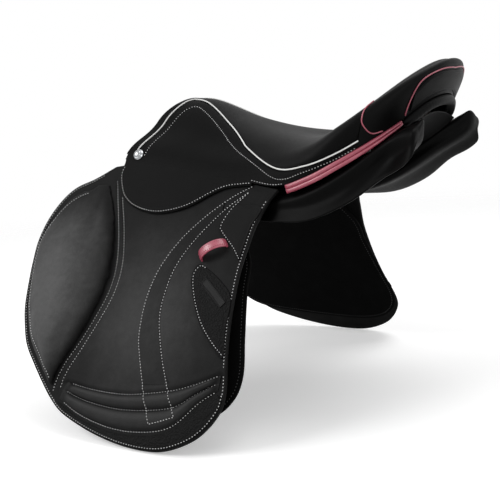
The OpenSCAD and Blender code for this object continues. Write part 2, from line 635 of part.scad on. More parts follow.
module strap_left(u) {
  half = strap_width / 2;
  top = strap_pivot - strap_width * strap_top_share;
  end = top + strap_length;
  tip = strap_width * strap_tip_share;
  color("#3a2a22") on_flap() difference() {
    flat_piece([[u - half, top], [u + half, top], [u + half, end - tip], [u + half - tip, end],
      [u - half + tip, end], [u - half, end - tip]], strap_inner, strap_outer);
    drill(u, strap_pivot, strap_bore, strap_inner - cut, strap_outer + cut);
    for (k = [0 : strap_holes - 1])
      drill(u, end - strap_width * first_hole_share - k * strap_hole_pitch, strap_hole_diameter,
        strap_inner - cut, strap_outer + cut);
  }
}
module strap_front_left() { strap_left(strap_front_u); }
module strap_rear_left() { strap_left(strap_rear_u); }
module strap_front_right() { on_right() strap_left(strap_front_u); }
module strap_rear_right() { on_right() strap_left(strap_rear_u); }

// Sweat flaps
sweat_shares = [[-0.55, 0.198], [-0.28, 0.198], [-0.05, 0.198], [-0.02, 0.25], [0.035, 0.35], [0.045, 0.45],
  [0.072, 0.60], [0.095, 0.72], [0.080, 0.80], [0.02, 0.86], [-0.09, 0.888], [-0.26, 0.886], [-0.43, 0.872],
  [-0.58, 0.852], [-0.665, 0.80], [-0.725, 0.70], [-0.760, 0.56], [-0.745, 0.42], [-0.680, 0.29]];
module sweat_flap_left() {
  places = flap_places(sweat_shares);
  color("#2e2a2c") on_flap() flat_piece(concat([places[0], places[1]],
    open_curve([for (k = [2 : len(places) - 1]) places[k]], 3)), sweat_inner, sweat_outer);
}
module sweat_flap_right() { on_right() sweat_flap_left(); }

// Flaps, with the notch that clears the stirrup bar
flap_edge_shares = [[-0.600, 0.028], [-0.684, 0.074], [-0.768, 0.110], [-0.824, 0.162], [-0.868, 0.238],
  [-0.889, 0.321], [-0.889, 0.397], [-0.882, 0.477], [-0.868, 0.569], [-0.845, 0.636], [-0.808, 0.710],
  [-0.747, 0.777], [-0.679, 0.843], [-0.624, 0.890], [-0.563, 0.928], [-0.458, 0.964], [-0.361, 0.987],
  [-0.271, 1.000], [-0.187, 1.003], [-0.124, 0.997], [-0.063, 0.977], [-0.003, 0.943], [0.039, 0.900],
  [0.066, 0.854], [0.074, 0.820], [0.071, 0.769], [0.050, 0.669], [0.037, 0.572], [0.032, 0.485],
  [0.032, 0.403], [0.042, 0.321], [0.055, 0.244], [0.087, 0.160], [0.113, 0.120]];
notch_share = 0.8;
notch_side = bar_height * notch_share;
notch_front = bar_front - bar_neck - notch_side;
notch_back = latch_pin_u + latch_length + notch_side;
notch_bottom = bar_middle + bar_plate_height / 2 + notch_side;
notch_corner = notch_side;
flap_edge = open_curve(flap_places(flap_edge_shares), 2);
function flap_top(u) = [u, fold_at(u) + fold_gap];
flap_notch = [flap_top(notch_back), [notch_back, notch_bottom - notch_corner],
  [notch_back - notch_corner, notch_bottom], [notch_front + notch_corner, notch_bottom],
  [notch_front, notch_bottom - notch_corner], flap_top(notch_front)];
module flap_left() {
  color("#3b3b40") on_flap() flat_piece(concat(flap_edge, flap_notch), flap_inner, flap_outer);
}
module flap_right() { on_right() flap_left(); }

// Knee pads: a crowned cushion on the front of each flap
knee_shares = [[-0.605, 0.092], [-0.685, 0.105], [-0.755, 0.132], [-0.808, 0.180], [-0.850, 0.255],
  [-0.871, 0.330], [-0.871, 0.400], [-0.864, 0.480], [-0.850, 0.565], [-0.826, 0.630], [-0.788, 0.700],
  [-0.730, 0.765],
  [-0.668, 0.826], [-0.634, 0.850], [-0.626, 0.815], [-0.604, 0.750], [-0.562, 0.672], [-0.522, 0.577],
  [-0.498, 0.495], [-0.494, 0.413], [-0.510, 0.315], [-0.545, 0.200]];
knee_centre_share = [-0.68, 0.44];
knee_rings = 7;
knee_power = 2.4;
crown_power = 0.8;
module crowned_pad(outline, centre, low, edge, crown, rings, power) {
  n = len(outline);
  ring = function (share, height) [for (p = outline) let (q = centre + (p - centre) * share)
    [q[0], -q[1], height]];
  points = concat(ring(1, low), [for (k = [0 : rings - 1]) let (share = 1 - k / rings)
    each ring(share, low + edge + crown * pow(1 - pow(share, power), crown_power))],
    [[centre[0], -centre[1], low + edge + crown], [centre[0], -centre[1], low]]);
  polyhedron(points, concat(
    [for (i = [0 : rings - 1], j = [0 : n - 1], k = [0, 1]) let (a = i * n + j, b = i * n + (j + 1) % n,
      c = a + n, d = b + n) k == 0 ? [a, d, b] : [a, c, d]],
    [for (j = [0 : n - 1]) [rings * n + j, (rings + 1) * n, rings * n + (j + 1) % n]],
    [for (j = [0 : n - 1]) [(j + 1) % n, (rings + 1) * n + 1, j]]));
}
module knee_pad_left() {
  outline = closed_curve(flap_places(knee_shares), 2);
  centre = [knee_centre_share[0] * flap_length, knee_centre_share[1] * flap_drop];
  color("#5a5a60") on_flap() crowned_pad(outline, centre, flap_outer, knee_edge, knee_crown, knee_rings,
    knee_power);
}
module knee_pad_right() { on_right() knee_pad_left(); }

// Ribs low on each flap: two padded channels between three seams
rib_seam_shares = [
  [[-0.566, 0.823], [-0.455, 0.836], [-0.321, 0.838], [-0.211, 0.823], [-0.105, 0.800], [-0.021, 0.769],
  [0.048, 0.738]],
  [[-0.580, 0.849], [-0.479, 0.874], [-0.342, 0.887], [-0.216, 0.879], [-0.105, 0.856], [-0.032, 0.808],
  [0.048, 0.762]],
  [[-0.586, 0.882], [-0.471, 0.926], [-0.329, 0.951], [-0.197, 0.946], [-0.095, 0.915], [-0.013, 0.833],
  [0.048, 0.787]]];
rib_across = 5;
rib_along = 3;
rib_taper_share = 0.08;
rib_seams = [for (seam = rib_seam_shares) open_curve(flap_places(seam), rib_along)];
function rib_fade(t) = min(1, min(t, 1 - t) / rib_taper_share);
function rib_place(i, j) = let (k = floor(j / rib_across), t = j / rib_across - k,
  last = len(rib_seams[0]) - 1, a = rib_seams[k], b = rib_seams[min(k + 1, 2)])
  k > 1 ? concat(a[i], [0]) : concat(a[i] + (b[i] - a[i]) * t, [sin(180 * t) * rib_fade(i / last)]);
module rib_pad_left() {
  layer = function (high) [for (i = [0 : len(rib_seams[0]) - 1]) [for (j = [0 : 2 * rib_across])
    let (q = rib_place(i, j)) [q[0], -q[1], flap_outer + high * (rib_edge + rib_crown * q[2])]]];
  color("#4a4a50") on_flap() sheet(layer(0), layer(1));
}
module rib_pad_right() { on_right() rib_pad_left(); }

// Grained hem below the ribs
hem_first = 14;
hem_last = 24;
hem_margin_share = 0.012;
hem_centre_share = [-0.26, 0.70];
module hem_band_left() {
  top = [for (p = rib_seam_shares[2]) [p[0], p[1] + hem_margin_share]];
  low = [for (k = [hem_last : -1 : hem_first]) flap_edge_shares[k] + (hem_centre_share - flap_edge_shares[k])
    * hem_margin_share];
  color("#33333a") on_flap() flat_piece(concat(open_curve(flap_places(top), 3),
    open_curve(flap_places(low), 2)), flap_outer, flap_outer + hem_thickness);
}
module hem_band_right() { on_right() hem_band_left(); }

// Sewn band, patches, label plate and keeper
band_fore_shares = [[-0.085, 0.165], [-0.155, 0.223], [-0.234, 0.308], [-0.292, 0.410], [-0.316, 0.520],
  [-0.311, 0.633], [-0.289, 0.700], [-0.247, 0.797]];
band_aft_shares = [[-0.132, 0.788], [-0.168, 0.756], [-0.205, 0.679], [-0.242, 0.572], [-0.242, 0.474],
  [-0.221, 0.387], [-0.168, 0.297], [-0.085, 0.200]];
module flap_band_left() {
  color("#404046") on_flap() flat_piece(concat(open_curve(flap_places(band_fore_shares), 3),
    open_curve(flap_places(band_aft_shares), 3)), flap_outer, flap_outer + band_thickness);
}
module flap_band_right() { on_right() flap_band_left(); }
upper_patch_shares = [[-0.045, 0.178], [-0.084, 0.246], [-0.071, 0.274], [-0.013, 0.323], [0.018, 0.362],
  [0.028, 0.330], [0.041, 0.250], [0.064, 0.180]];
module upper_patch_left() {
  color("#45454b") on_flap() flat_piece(flap_places(upper_patch_shares), flap_outer,
    flap_outer + patch_thickness);
}
module upper_patch_right() { on_right() upper_patch_left(); }
lower_patch_shares = [[-0.134, 0.385], [-0.150, 0.426], [-0.126, 0.495], [-0.079, 0.579], [-0.018, 0.644],
  [0.040, 0.685], [0.028, 0.590], [0.022, 0.490], [-0.034, 0.433], [-0.103, 0.392]];
module lower_patch_left() {
  color("#34343a") on_flap() flat_piece(flap_places(lower_patch_shares), flap_outer,
    flap_outer + patch_thickness);
}
module lower_patch_right() { on_right() lower_patch_left(); }
label_centre_share = [-0.048, 0.477];
label_angle = 40;
module label_plate_left() {
  low = flap_outer + patch_thickness;
  color("#8a8a90") on_flap()
    translate([label_centre_share[0] * flap_length, -label_centre_share[1] * flap_drop, low])
    rotate([0, 0, -label_angle]) translate([-label_length / 2, -label_width / 2, 0])
    cube([label_length, label_width, label_thickness]);
}
module label_plate_right() { on_right() label_plate_left(); }
keeper_centre_share = [-0.0855, 0.334];
keeper_angle = 32;
keeper_points = 12;
keeper_half = keeper_span / 2;
keeper_profile = concat(
  [for (k = [0 : keeper_points]) let (a = 180 * k / keeper_points)
    [keeper_half * cos(a), keeper_rise * sin(a)]],
  [for (k = [keeper_points : -1 : 0]) let (a = 180 * k / keeper_points)
    [(keeper_half - keeper_thickness) * cos(a), (keeper_rise - keeper_thickness) * sin(a)]]);
module keeper_left() {
  color("#d8788c") on_flap()
    translate([keeper_centre_share[0] * flap_length, -keeper_centre_share[1] * flap_drop, flap_outer])
    rotate([0, 0, keeper_angle]) rotate([90, 0, 0]) translate([0, 0, -keeper_width / 2])
    linear_extrude(keeper_width) polygon(keeper_profile);
}
module keeper_right() { on_right() keeper_left(); }

// Skirts: the part below the fold line, which lifts
skirt_edge_shares = [[0.012, 0.108], [-0.03, 0.110], [-0.089, 0.118], [-0.142, 0.140], [-0.218, 0.181],
  [-0.295, 0.204], [-0.376, 0.210], [-0.461, 0.190], [-0.518, 0.154], [-0.547, 0.110], [-0.563, 0.062],
  [-0.553, 0.016]];
module skirt_left() {
  edge = open_curve(flap_places(skirt_edge_shares), 3);
  first = edge[0][0];
  last = edge[len(edge) - 1][0];
  color("#2b2b2f") on_flap() flat_piece(concat(edge, [[last, fold_at(last) + fold_gap],
    [first, fold_at(first) + fold_gap]]), skirt_inner, skirt_outer);
}
module skirt_right() { on_right() skirt_left(); }

// Round nails at the front of the skirts
nail_shares = [-0.500, -0.012];
nail_seat = skirt_outer + seat_gap;
nail_radius = nail_diameter / 2;
nail_sphere = (nail_radius * nail_radius + nail_rise * nail_rise) / (2 * nail_rise);
module nail_left() {
  on_flap() translate([nail_shares[0] * flap_length, -nail_shares[1] * flap_drop, nail_seat])
    intersection() {
      translate([0, 0, nail_rise - nail_sphere]) sphere(r = nail_sphere, $fn = fine);
      cylinder(r = nail_radius, h = nail_rise, $fn = fine);
    }
}
module nails() {
  color("#e2e4e8") {
    nail_left();
    on_right() nail_left();
  }
}

seat_cover();
seat_foam();
seat_webbing();
tree_head();
tree_rail_left();
tree_rail_right();
tree_cantle();
tree_point_left();
tree_point_right();
head_plate();
seat_side_left();
seat_side_right();
seat_piping();
cantle_facing();
cantle_plate();
cantle_piping();
cantle_roll();
rear_welt_left();
rear_welt_right();
panel_left();
panel_right();
gullet_lining();
pommel_facing();
sweat_flap_left();
sweat_flap_right();
stirrup_bar_left();
stirrup_bar_right();
bar_rivets();
girth_web_left();
girth_web_right();
strap_rivets();
nails();
flap_left();
flap_right();
knee_pad_left();
knee_pad_right();
rib_pad_left();
rib_pad_right();
hem_band_left();
hem_band_right();
flap_band_left();
flap_band_right();
upper_patch_left();
upper_patch_right();
lower_patch_left();
lower_patch_right();
label_plate_left();
label_plate_right();
keeper_left();
keeper_right();
skirt_left();
skirt_right();
strap_front_left();
strap_rear_left();
strap_front_right();
strap_rear_right();
bar_latch_left();
bar_latch_right();
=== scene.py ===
"""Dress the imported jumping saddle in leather, stitching, piping and metal.

Lengths are millimetres in the CAD frame (+X back, -Y the rider's left, +Z up) until a mesh is
written, where they become metres. Left pieces are worked out, and right pieces are their mirror.
"""

import logging
import math
from dataclasses import dataclass, field
from enum import Enum
from typing import Callable, Optional, Sequence, Union

import bmesh
import bpy
import numpy as np
from mathutils import Matrix, Vector
from mathutils.bvhtree import BVHTree


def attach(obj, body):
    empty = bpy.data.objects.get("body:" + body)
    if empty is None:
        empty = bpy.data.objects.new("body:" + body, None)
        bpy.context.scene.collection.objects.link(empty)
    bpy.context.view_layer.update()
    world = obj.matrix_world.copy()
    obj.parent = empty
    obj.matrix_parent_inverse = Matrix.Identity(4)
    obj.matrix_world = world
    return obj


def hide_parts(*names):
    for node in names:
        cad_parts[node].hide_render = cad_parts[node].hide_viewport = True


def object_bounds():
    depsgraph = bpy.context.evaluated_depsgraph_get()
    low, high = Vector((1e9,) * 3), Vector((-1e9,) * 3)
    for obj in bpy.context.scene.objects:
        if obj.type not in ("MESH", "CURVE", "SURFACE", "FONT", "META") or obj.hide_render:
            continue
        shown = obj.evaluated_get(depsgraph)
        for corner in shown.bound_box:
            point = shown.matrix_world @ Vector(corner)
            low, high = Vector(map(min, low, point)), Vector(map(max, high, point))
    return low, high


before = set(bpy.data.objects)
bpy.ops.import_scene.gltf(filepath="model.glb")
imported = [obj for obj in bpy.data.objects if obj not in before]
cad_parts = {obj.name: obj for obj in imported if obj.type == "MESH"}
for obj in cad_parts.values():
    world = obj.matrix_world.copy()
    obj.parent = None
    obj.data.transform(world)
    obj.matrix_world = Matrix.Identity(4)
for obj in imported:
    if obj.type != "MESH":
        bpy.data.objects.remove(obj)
CAD_BOX = [[float(value) for value in corner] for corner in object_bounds()]
LOG = logging.getLogger("saddle")
MM = 0.001
Array = np.ndarray
Colour = tuple[float, float, float]
Shares = Sequence[Sequence[float]]
Pair = tuple[float, float]
Run = tuple[Array, Array]
Piece = bpy.types.Object


class Side(Enum):
    """The two sides of the saddle."""

    LEFT = "left"
    RIGHT = "right"

    def name_of(self, stem: str) -> str:
        """Name of a piece or body on this side."""
        return f"{stem}_{self.value}"


# Curves and surfaces as whole arrays


def unit(v: Array) -> Array:
    """Rows of v at length one."""
    return v / np.maximum(np.linalg.norm(v, axis=-1, keepdims=True), 1e-9)


def smooth(rows: Shares, at: Array) -> Array:
    """Catmull-Rom curve through rows of numbers, its ends drawn on straight.

    Args:
        rows: Numbers at whole places 0, 1, 2 and on.
        at: Places wanted, counted in rows.

    Returns:
        One row of numbers for each place.
    """
    rows = np.asarray(rows, float)
    at = np.asarray(at, float)
    ends = np.vstack([2 * rows[:1] - rows[1:2], rows, 2 * rows[-1:] - rows[-2:-1]])
    first = np.clip(np.floor(at).astype(int), 0, len(rows) - 2)
    t = (at - first)[..., None]
    a, b, c, d = (ends[first + k] for k in range(4))
    bend = 2 * a - 5 * b + 4 * c - d
    twist = 3 * b - a - 3 * c + d
    return 0.5 * (2 * b + (c - a) * t + bend * t**2 + twist * t**3)


def smooth_path(rows: Shares, count: int) -> Array:
    """Open smooth curve through rows, at count even places."""
    return smooth(rows, np.linspace(0, len(rows) - 1, count))


def smooth_ring(rows: Shares, count: int) -> Array:
    """Closed smooth curve through rows, at count places.

    Args:
        rows: Corner places in order, the first one not repeated.
        count: Number of places wanted.

    Returns:
        The places, the first one not repeated.
    """
    rows = np.asarray(rows, float)
    lapped = np.vstack([rows[-2:], rows, rows[:3]])
    return smooth(lapped, 2 + np.arange(count) * len(rows) / count)


def lengths(path: Array) -> Array:
    """Distance along a path at each of its places."""
    steps = np.linalg.norm(np.diff(path, axis=0), axis=1)
    return np.concatenate([[0.0], np.cumsum(steps)])


def resample(path: Array, count: int, extra: Optional[Array] = None) -> Array:
    """Places at even distances along a path.

    Args:
        path: Places in order.
        count: Number of places wanted.
        extra: Rows that go with the places, taken along with them when given.

    Returns:
        The even places, with the extra columns after them when given.
    """
    run = lengths(path)
    rows = path if extra is None else np.hstack([path, extra])
    at = np.linspace(0, run[-1], count)
    return np.stack([np.interp(at, run, column) for column in rows.T], axis=1)


def distance(spots: Array, path: Array) -> Array:
    """Distance of each spot from a path of straight pieces.

    Args:
        spots: Places, two numbers each, in any grid.
        path: Places of the path in order.

    Returns:
        One distance for each spot.
    """
    start = path[:-1]
    along = path[1:] - start
    span = np.maximum((along**2).sum(-1), 1e-9)
    gap = spots[..., None, :] - start
    t = np.clip((gap * along).sum(-1) / span, 0, 1)
    return np.linalg.norm(gap - t[..., None] * along, axis=-1).min(-1)


def ease(x: Array) -> Array:
    """Smooth step from 0 to 1 as x goes from 0 to 1."""
    x = np.clip(x, 0, 1)
    return x * x * (3 - 2 * x)


def ramp(x: Array, start: float, end: float) -> Array:
    """Smooth step from 0 at the start to 1 at the end."""
    return ease((x - start) / (end - start))


@dataclass(frozen=True)
class Ridge:
    """A bell-shaped ridge across a distance, or a groove where its rise is negative."""

    rise: float
    place: float
    width: float

    def at(self, x: Array) -> Array:
        """Height at the distance x."""
        return self.rise * np.exp(-(((x - self.place) / self.width) ** 2))


def bezier(a: Array, b: Array, c: Array, d: Array, t: Array) -> Array:
    """Cubic Bezier curve from a to d with handles b and c."""
    u = 1 - t
    return u**3 * a + 3 * u * u * t * b + 3 * u * t * t * c + t**3 * d


# Meshes


def quads(rows: int, cols: int, ring: bool = False, start: int = 0, flip: bool = False) -> Array:
    """Four-sided faces of a grid of vertices.

    Args:
        rows: Rows of vertices.
        cols: Columns of vertices.
        ring: Whether the last column joins the first.
        start: Number of the grid's first vertex.
        flip: Whether the faces are turned over.

    Returns:
        Vertex numbers, four to a face.
    """
    i, j = np.meshgrid(np.arange(rows - 1), np.arange(cols if ring else cols - 1), indexing="ij")
    k = (j + 1) % cols
    low, high = i * cols, (i + 1) * cols
    faces = np.stack([low + j, low + k, high + k, high + j], -1).reshape(-1, 4)
    return start + (faces[:, ::-1] if flip else faces)


def make_object(
    name: str, places: Array, faces: Sequence[Array], weld: float = 0.0, crisp: float = 50.0
) -> Piece:
    """Write places and faces into a new smooth-shaded object with its faces outward.

    Args:
        name: Name of the piece.
        places: Vertex places in millimetres.
        faces: Arrays of vertex numbers, each array with one count of corners.
        weld: Distance in millimetres below which vertices become one.
        crisp: Angle in degrees above which an edge is shaded sharp.

    Returns:
        The new object.
    """
    mesh = bpy.data.meshes.new(name)
    corners = [face for part in faces for face in part.tolist()]
    mesh.from_pydata((np.asarray(places) * MM).tolist(), [], corners)
    work = bmesh.new()
    work.from_mesh(mesh)
    if weld:
        bmesh.ops.remove_doubles(work, verts=work.verts, dist=weld * MM)
    bmesh.ops.recalc_face_normals(work, faces=work.faces)
    work.to_mesh(mesh)
    work.free()
    mesh.shade_smooth()
    mesh.set_sharp_from_angle(angle=math.radians(crisp))
    made = bpy.data.objects.new(name, mesh)
    bpy.context.scene.collection.objects.link(made)
    return made


def sheet(name: str, outer: Array, inner: Array, end: bool = True, weld: float = 0.0) -> Piece:
    """Closed sheet between two grids of places that face each other.

    Args:
        name: Name of the piece.
        outer: Grid of places on the outer face, rows by columns by three.
        inner: The same grid on the inner face.
        end: Whether the last row has an edge of its own. Without one it folds onto itself.
        weld: Distance below which vertices become one.

    Returns:
        The new object.
    """
    rows, cols = outer.shape[:2]
    number = np.arange(rows * cols).reshape(rows, cols)
    rims = [number[:, 0], number[:, -1], number[0, :]] + ([number[-1, :]] if end else [])
    walls = [np.stack([r[:-1], r[1:], r[1:] + rows * cols, r[:-1] + rows * cols], -1) for r in rims]
    faces = [quads(rows, cols), quads(rows, cols, start=rows * cols, flip=True)] + walls
    return make_object(name, np.vstack([outer.reshape(-1, 3), inner.reshape(-1, 3)]), faces, weld)


def tube(name: str, rings: Array) -> Piece:
    """Closed tube through rings of places, with a fan of faces to a middle point on each end.

    Args:
        name: Name of the piece.
        rings: Places, rings by sides by three.

    Returns:
        The new object.
    """
    count, sides = rings.shape[:2]
    places = np.vstack([rings.reshape(-1, 3), rings[0].mean(0), rings[-1].mean(0)])
    first = np.arange(sides)
    after = np.roll(first, -1)
    last = (count - 1) * sides
    fans = [np.stack([after, first, np.full(sides, count * sides)], -1),
            np.stack([last + first, last + after, np.full(sides, count * sides + 1)], -1)]
    return make_object(name, places, [quads(count, sides, ring=True)] + fans)


def sweep(path: Array, out: Array, profile: Array) -> Array:
    """Carry a profile along a path.

    A ring is path + out * profile[0] + side * profile[1], where side is square to the path and out.

    Args:
        path: Places in order.
        out: Direction of the profile's first axis at each place.
        profile: Two numbers for each side, or for each place and side.

    Returns:
        Rings of places.
    """
    along = unit(np.gradient(path, axis=0))
    out = unit(out - along * (out * along).sum(-1, keepdims=True))
    side = np.cross(along, out)
    profile = np.broadcast_to(profile, (len(path),) + np.asarray(profile).shape[-2:])
    return path[:, None] + out[:, None] * profile[..., :1] + side[:, None] * profile[..., 1:]


def circle(radius: float, sides: int) -> Array:
    """Round profile."""
    angle = np.arange(sides) * 2 * math.pi / sides
    return radius * np.stack([np.cos(angle), np.sin(angle)], -1)


def mirrored(places: Array) -> Array:
    """Places on the saddle's other side."""
    return places * np.array([1.0, -1.0, 1.0])


def vertex_places(made: Piece) -> Array:
    """Places of an object's vertices, in millimetres."""
    flat = np.empty(len(made.data.vertices) * 3)
    made.data.vertices.foreach_get("co", flat)
    return flat.reshape(-1, 3) / MM


def set_places(made: Piece, places: Array) -> None:
    """Move an object's vertices to places in millimetres."""
    made.data.vertices.foreach_set("co", (places * MM).ravel())


def mirror_object(made: Piece, name: str) -> Piece:
    """Copy of a left piece for the right, its faces turned outward again.

    Args:
        made: The left piece.
        name: Name of the right piece.

    Returns:
        The right piece, with the same modifiers and materials.
    """
    other = made.copy()
    other.data = made.data.copy()
    other.name = name
    other.data.name = name
    for key in [key for key in other.keys() if key.startswith("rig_")]:
        del other[key]
    set_places(other, mirrored(vertex_places(other)))
    other.data.flip_normals()
    other.parent = None
    bpy.context.scene.collection.objects.link(other)
    return other


def soften(made: Piece, width: float) -> None:
    """Round the sharp edges of a piece.

    Args:
        made: The piece.
        width: Width of the rounding in millimetres.
    """
    bevel = made.modifiers.new("rounding", "BEVEL")
    bevel.width = width * MM
    bevel.segments = 2
    bevel.limit_method = "ANGLE"
    bevel.angle_limit = math.radians(50)


def refined_copy(node: str, name: str, width: float) -> Piece:
    """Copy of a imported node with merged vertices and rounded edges.

    Args:
        node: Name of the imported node.
        name: Name of the new piece.
        width: Width of the rounding in millimetres.

    Returns:
        The new piece.
    """
    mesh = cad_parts[node].data.copy()
    mesh.name = name
    work = bmesh.new()
    work.from_mesh(mesh)
    bmesh.ops.remove_doubles(work, verts=work.verts, dist=0.01 * MM)
    bmesh.ops.dissolve_limit(work, angle_limit=math.radians(1), verts=work.verts, edges=work.edges)
    work.to_mesh(mesh)
    work.free()
    mesh.materials.clear()
    made = bpy.data.objects.new(name, mesh)
    bpy.context.scene.collection.objects.link(made)
    soften(made, width)
    return made


def set_attribute(made: Piece, name: str, values: Array) -> None:
    """Keep one number for each vertex in a named attribute."""
    made.data.attributes.new(name, "FLOAT", "POINT").data.foreach_set("value", np.ravel(values))


# Shaders


class Sock:
    """A shader socket that takes part in sums."""

    def __init__(self, shade: "Shade", socket: bpy.types.NodeSocket) -> None:
        """Keep the socket and the shader it belongs to."""
        self.shade = shade
        self.socket = socket

    def _sum(self, kind: str, first: "Value", second: "Value") -> "Sock":
        """One Math node on two values."""
        return self.shade.node("ShaderNodeMath", {"operation": kind}, {0: first, 1: second})

    def __add__(self, other: "Value") -> "Sock":
        """self + other."""
        return self._sum("ADD", self, other)

    def __sub__(self, other: "Value") -> "Sock":
        """self - other."""
        return self._sum("SUBTRACT", self, other)

    def __rsub__(self, other: "Value") -> "Sock":
        """other - self."""
        return self._sum("SUBTRACT", other, self)

    def __mul__(self, other: "Value") -> "Sock":
        """self * other."""
        return self._sum("MULTIPLY", self, other)

    __radd__ = __add__
    __rmul__ = __mul__

    def within(self, low: float, high: float) -> "Sock":
        """Share of the way from low to high, kept between 0 and 1."""
        return self.shade.node(
            "ShaderNodeMapRange", {"interpolation_type": "SMOOTHSTEP"}, {0: self, 1: low, 2: high}
        )


Value = Union[Sock, float, Colour, tuple]


class Shade:
    """A node tree under construction."""

    def __init__(self, tree: bpy.types.NodeTree) -> None:
        """Start on an emptied tree."""
        self.tree = tree
        tree.nodes.clear()

    def node(self, kind: str, settings: dict, inputs: dict, out: Union[int, str] = 0) -> Sock:
        """Add one node.

        Args:
            kind: Type of the node.
            settings: Properties to set first; "stops" gives a ramp's places and colours.
            inputs: Socket name or number, and the value or link for it.
            out: Name or number of the wanted output.

        Returns:
            The wanted output.
        """
        made = self.tree.nodes.new(kind)
        for key, value in settings.items():
            if key == "stops":
                ramp = made.color_ramp.elements
                while len(ramp) < len(value):
                    ramp.new(0.5)
                for stop, (place, colour) in zip(ramp, value):
                    stop.position = place
                    stop.color = (*colour, 1.0)
            else:
                setattr(made, key, value)
        for key, value in inputs.items():
            if isinstance(value, Sock):
                self.tree.links.new(value.socket, made.inputs[key])
            else:
                socket = made.inputs[key]
                wide = socket.type == "RGBA" and len(value) == 3
                socket.default_value = (*value, 1.0) if wide else value
        return Sock(self, made.outputs[out])

    def place(self) -> Sock:
        """Object coordinates, which are the CAD frame in metres."""
        return self.node("ShaderNodeTexCoord", {}, {}, "Object")

    def noise(self, scale: float, detail: float, rough: float, at: Sock) -> Sock:
        """Cloudy noise from 0 to 1."""
        inputs = {"Vector": at, "Scale": scale, "Detail": detail, "Roughness": rough}
        return self.node("ShaderNodeTexNoise", {}, inputs)

    def mix(self, share: Value, first: Value, second: Value) -> Sock:
        """Colour between first and second."""
        return self.node("ShaderNodeMix", {"data_type": "RGBA"}, {0: share, 6: first, 7: second}, 2)

    def bump(self, height: Sock, depth: float) -> Sock:
        """Normal that a height gives, depth metres deep."""
        return self.node("ShaderNodeBump", {}, {"Height": height, "Distance": depth, "Strength": 1.0})

    def surface(
        self, colour: Sock, roughness: Value, specular: float, normal: Sock, others: Optional[dict] = None
    ) -> None:
        """Principled shader with these inputs and others by name, linked to the output."""
        inputs = {"Base Color": colour, "Roughness": roughness, "Specular IOR Level": specular}
        inputs.update(others or {}, Normal=normal)
        self.output(self.node("ShaderNodeBsdfPrincipled", {}, inputs))

    def output(self, shader: Sock) -> None:
        """Link a shader to the material's output."""
        made = self.tree.nodes.new("ShaderNodeOutputMaterial")
        self.tree.links.new(shader.socket, made.inputs["Surface"])


def grey(level: int) -> Colour:
    """Linear grey for a level from 0 to 255 as a picture shows it."""
    return tone(level, level, level)


def tone(red: int, green: int, blue: int) -> Colour:
    """Linear colour for levels from 0 to 255 as a picture shows them."""
    return tuple(((c / 255 + 0.055) / 1.055) ** 2.4 for c in (red, green, blue))


@dataclass(frozen=True)
class Finish:
    """A finish with a name."""

    name: str

    def material(self) -> bpy.types.Material:
        """The finish's material, made once."""
        title = self.name + "_finish"
        known = bpy.data.materials.get(title)
        if known:
            return known
        made = bpy.data.materials.new(title)
        made.use_nodes = True
        self.shade(Shade(made.node_tree))
        return made

    def shade(self, shade: Shade) -> None:
        """Fill in the node tree."""
        raise NotImplementedError


@dataclass(frozen=True)
class Leather(Finish):
    """Dyed leather: pebbled grain, soft clouds of tone, and paler places that are painted highlight.

    grain is the number of pebbles in a metre, depth the height of one in metres, cloud the share of the
    paler tone that the clouds reach. A vertex attribute adds the paler tone by place as painted highlight.
    """

    colour: Colour
    pale: Colour
    roughness: float
    grain: float
    depth: float
    cloud: float
    specular: float = 0.3

    def shade(self, shade: Shade) -> None:
        """Clouds mix the two tones, pebbles and creases make the bump and vary the gloss."""
        place = shade.place()
        clouds = shade.noise(38.0, 4.0, 0.6, place).within(0.34, 0.72)
        streaks = shade.noise(150.0, 4.0, 0.65, place)
        # painted highlight: a vertex attribute paints the paler tone, and a little more gloss, on lit places
        worn = shade.node("ShaderNodeAttribute", {"attribute_name": "worn"}, {}, "Fac")
        moves = {0: place, 1: self._bend(shade, place)}
        bent = shade.node("ShaderNodeVectorMath", {"operation": "ADD"}, moves)
        cells = shade.node("ShaderNodeTexVoronoi", {}, {"Vector": bent, "Scale": self.grain}, "Distance")
        pebble = 1 - cells.within(0.18, 0.85)
        share = (clouds * self.cloud + worn) * (0.72 + 0.56 * streaks)
        colour = shade.mix(share.within(0.0, 1.0), self.colour, self.pale)
        gloss = self.roughness + 0.10 * (streaks - 0.5) + 0.08 * (1 - pebble) - 0.05 * worn
        height = pebble + 0.55 * streaks
        shade.surface(colour, gloss, self.specular, shade.bump(height, self.depth))

    def _bend(self, shade: Shade, place: Sock) -> Sock:
        """Small wander of the pebbles' places."""
        wander = shade.node("ShaderNodeTexNoise", {}, {"Vector": place, "Scale": self.grain * 0.45}, 1)
        reach = {0: wander, "Scale": 0.5 / self.grain}
        return shade.node("ShaderNodeVectorMath", {"operation": "SCALE"}, reach)


@dataclass(frozen=True)
class Thread(Finish):
    """Waxed thread with a fine twist."""

    colour: Colour
    dark: Colour

    def shade(self, shade: Shade) -> None:
        """Bands across the run give the twist, noise the soil."""
        place = shade.place()
        soil = shade.noise(120.0, 3.0, 0.6, place)
        twist = shade.node(
            "ShaderNodeTexWave", {"bands_direction": "DIAGONAL"}, {"Vector": place, "Scale": 700.0}, 1
        )
        colour = shade.mix(soil.within(0.3, 0.75) * 0.6, self.colour, self.dark)
        shade.surface(colour, 0.62 + 0.2 * soil, 0.3, shade.bump(twist, 0.00008))


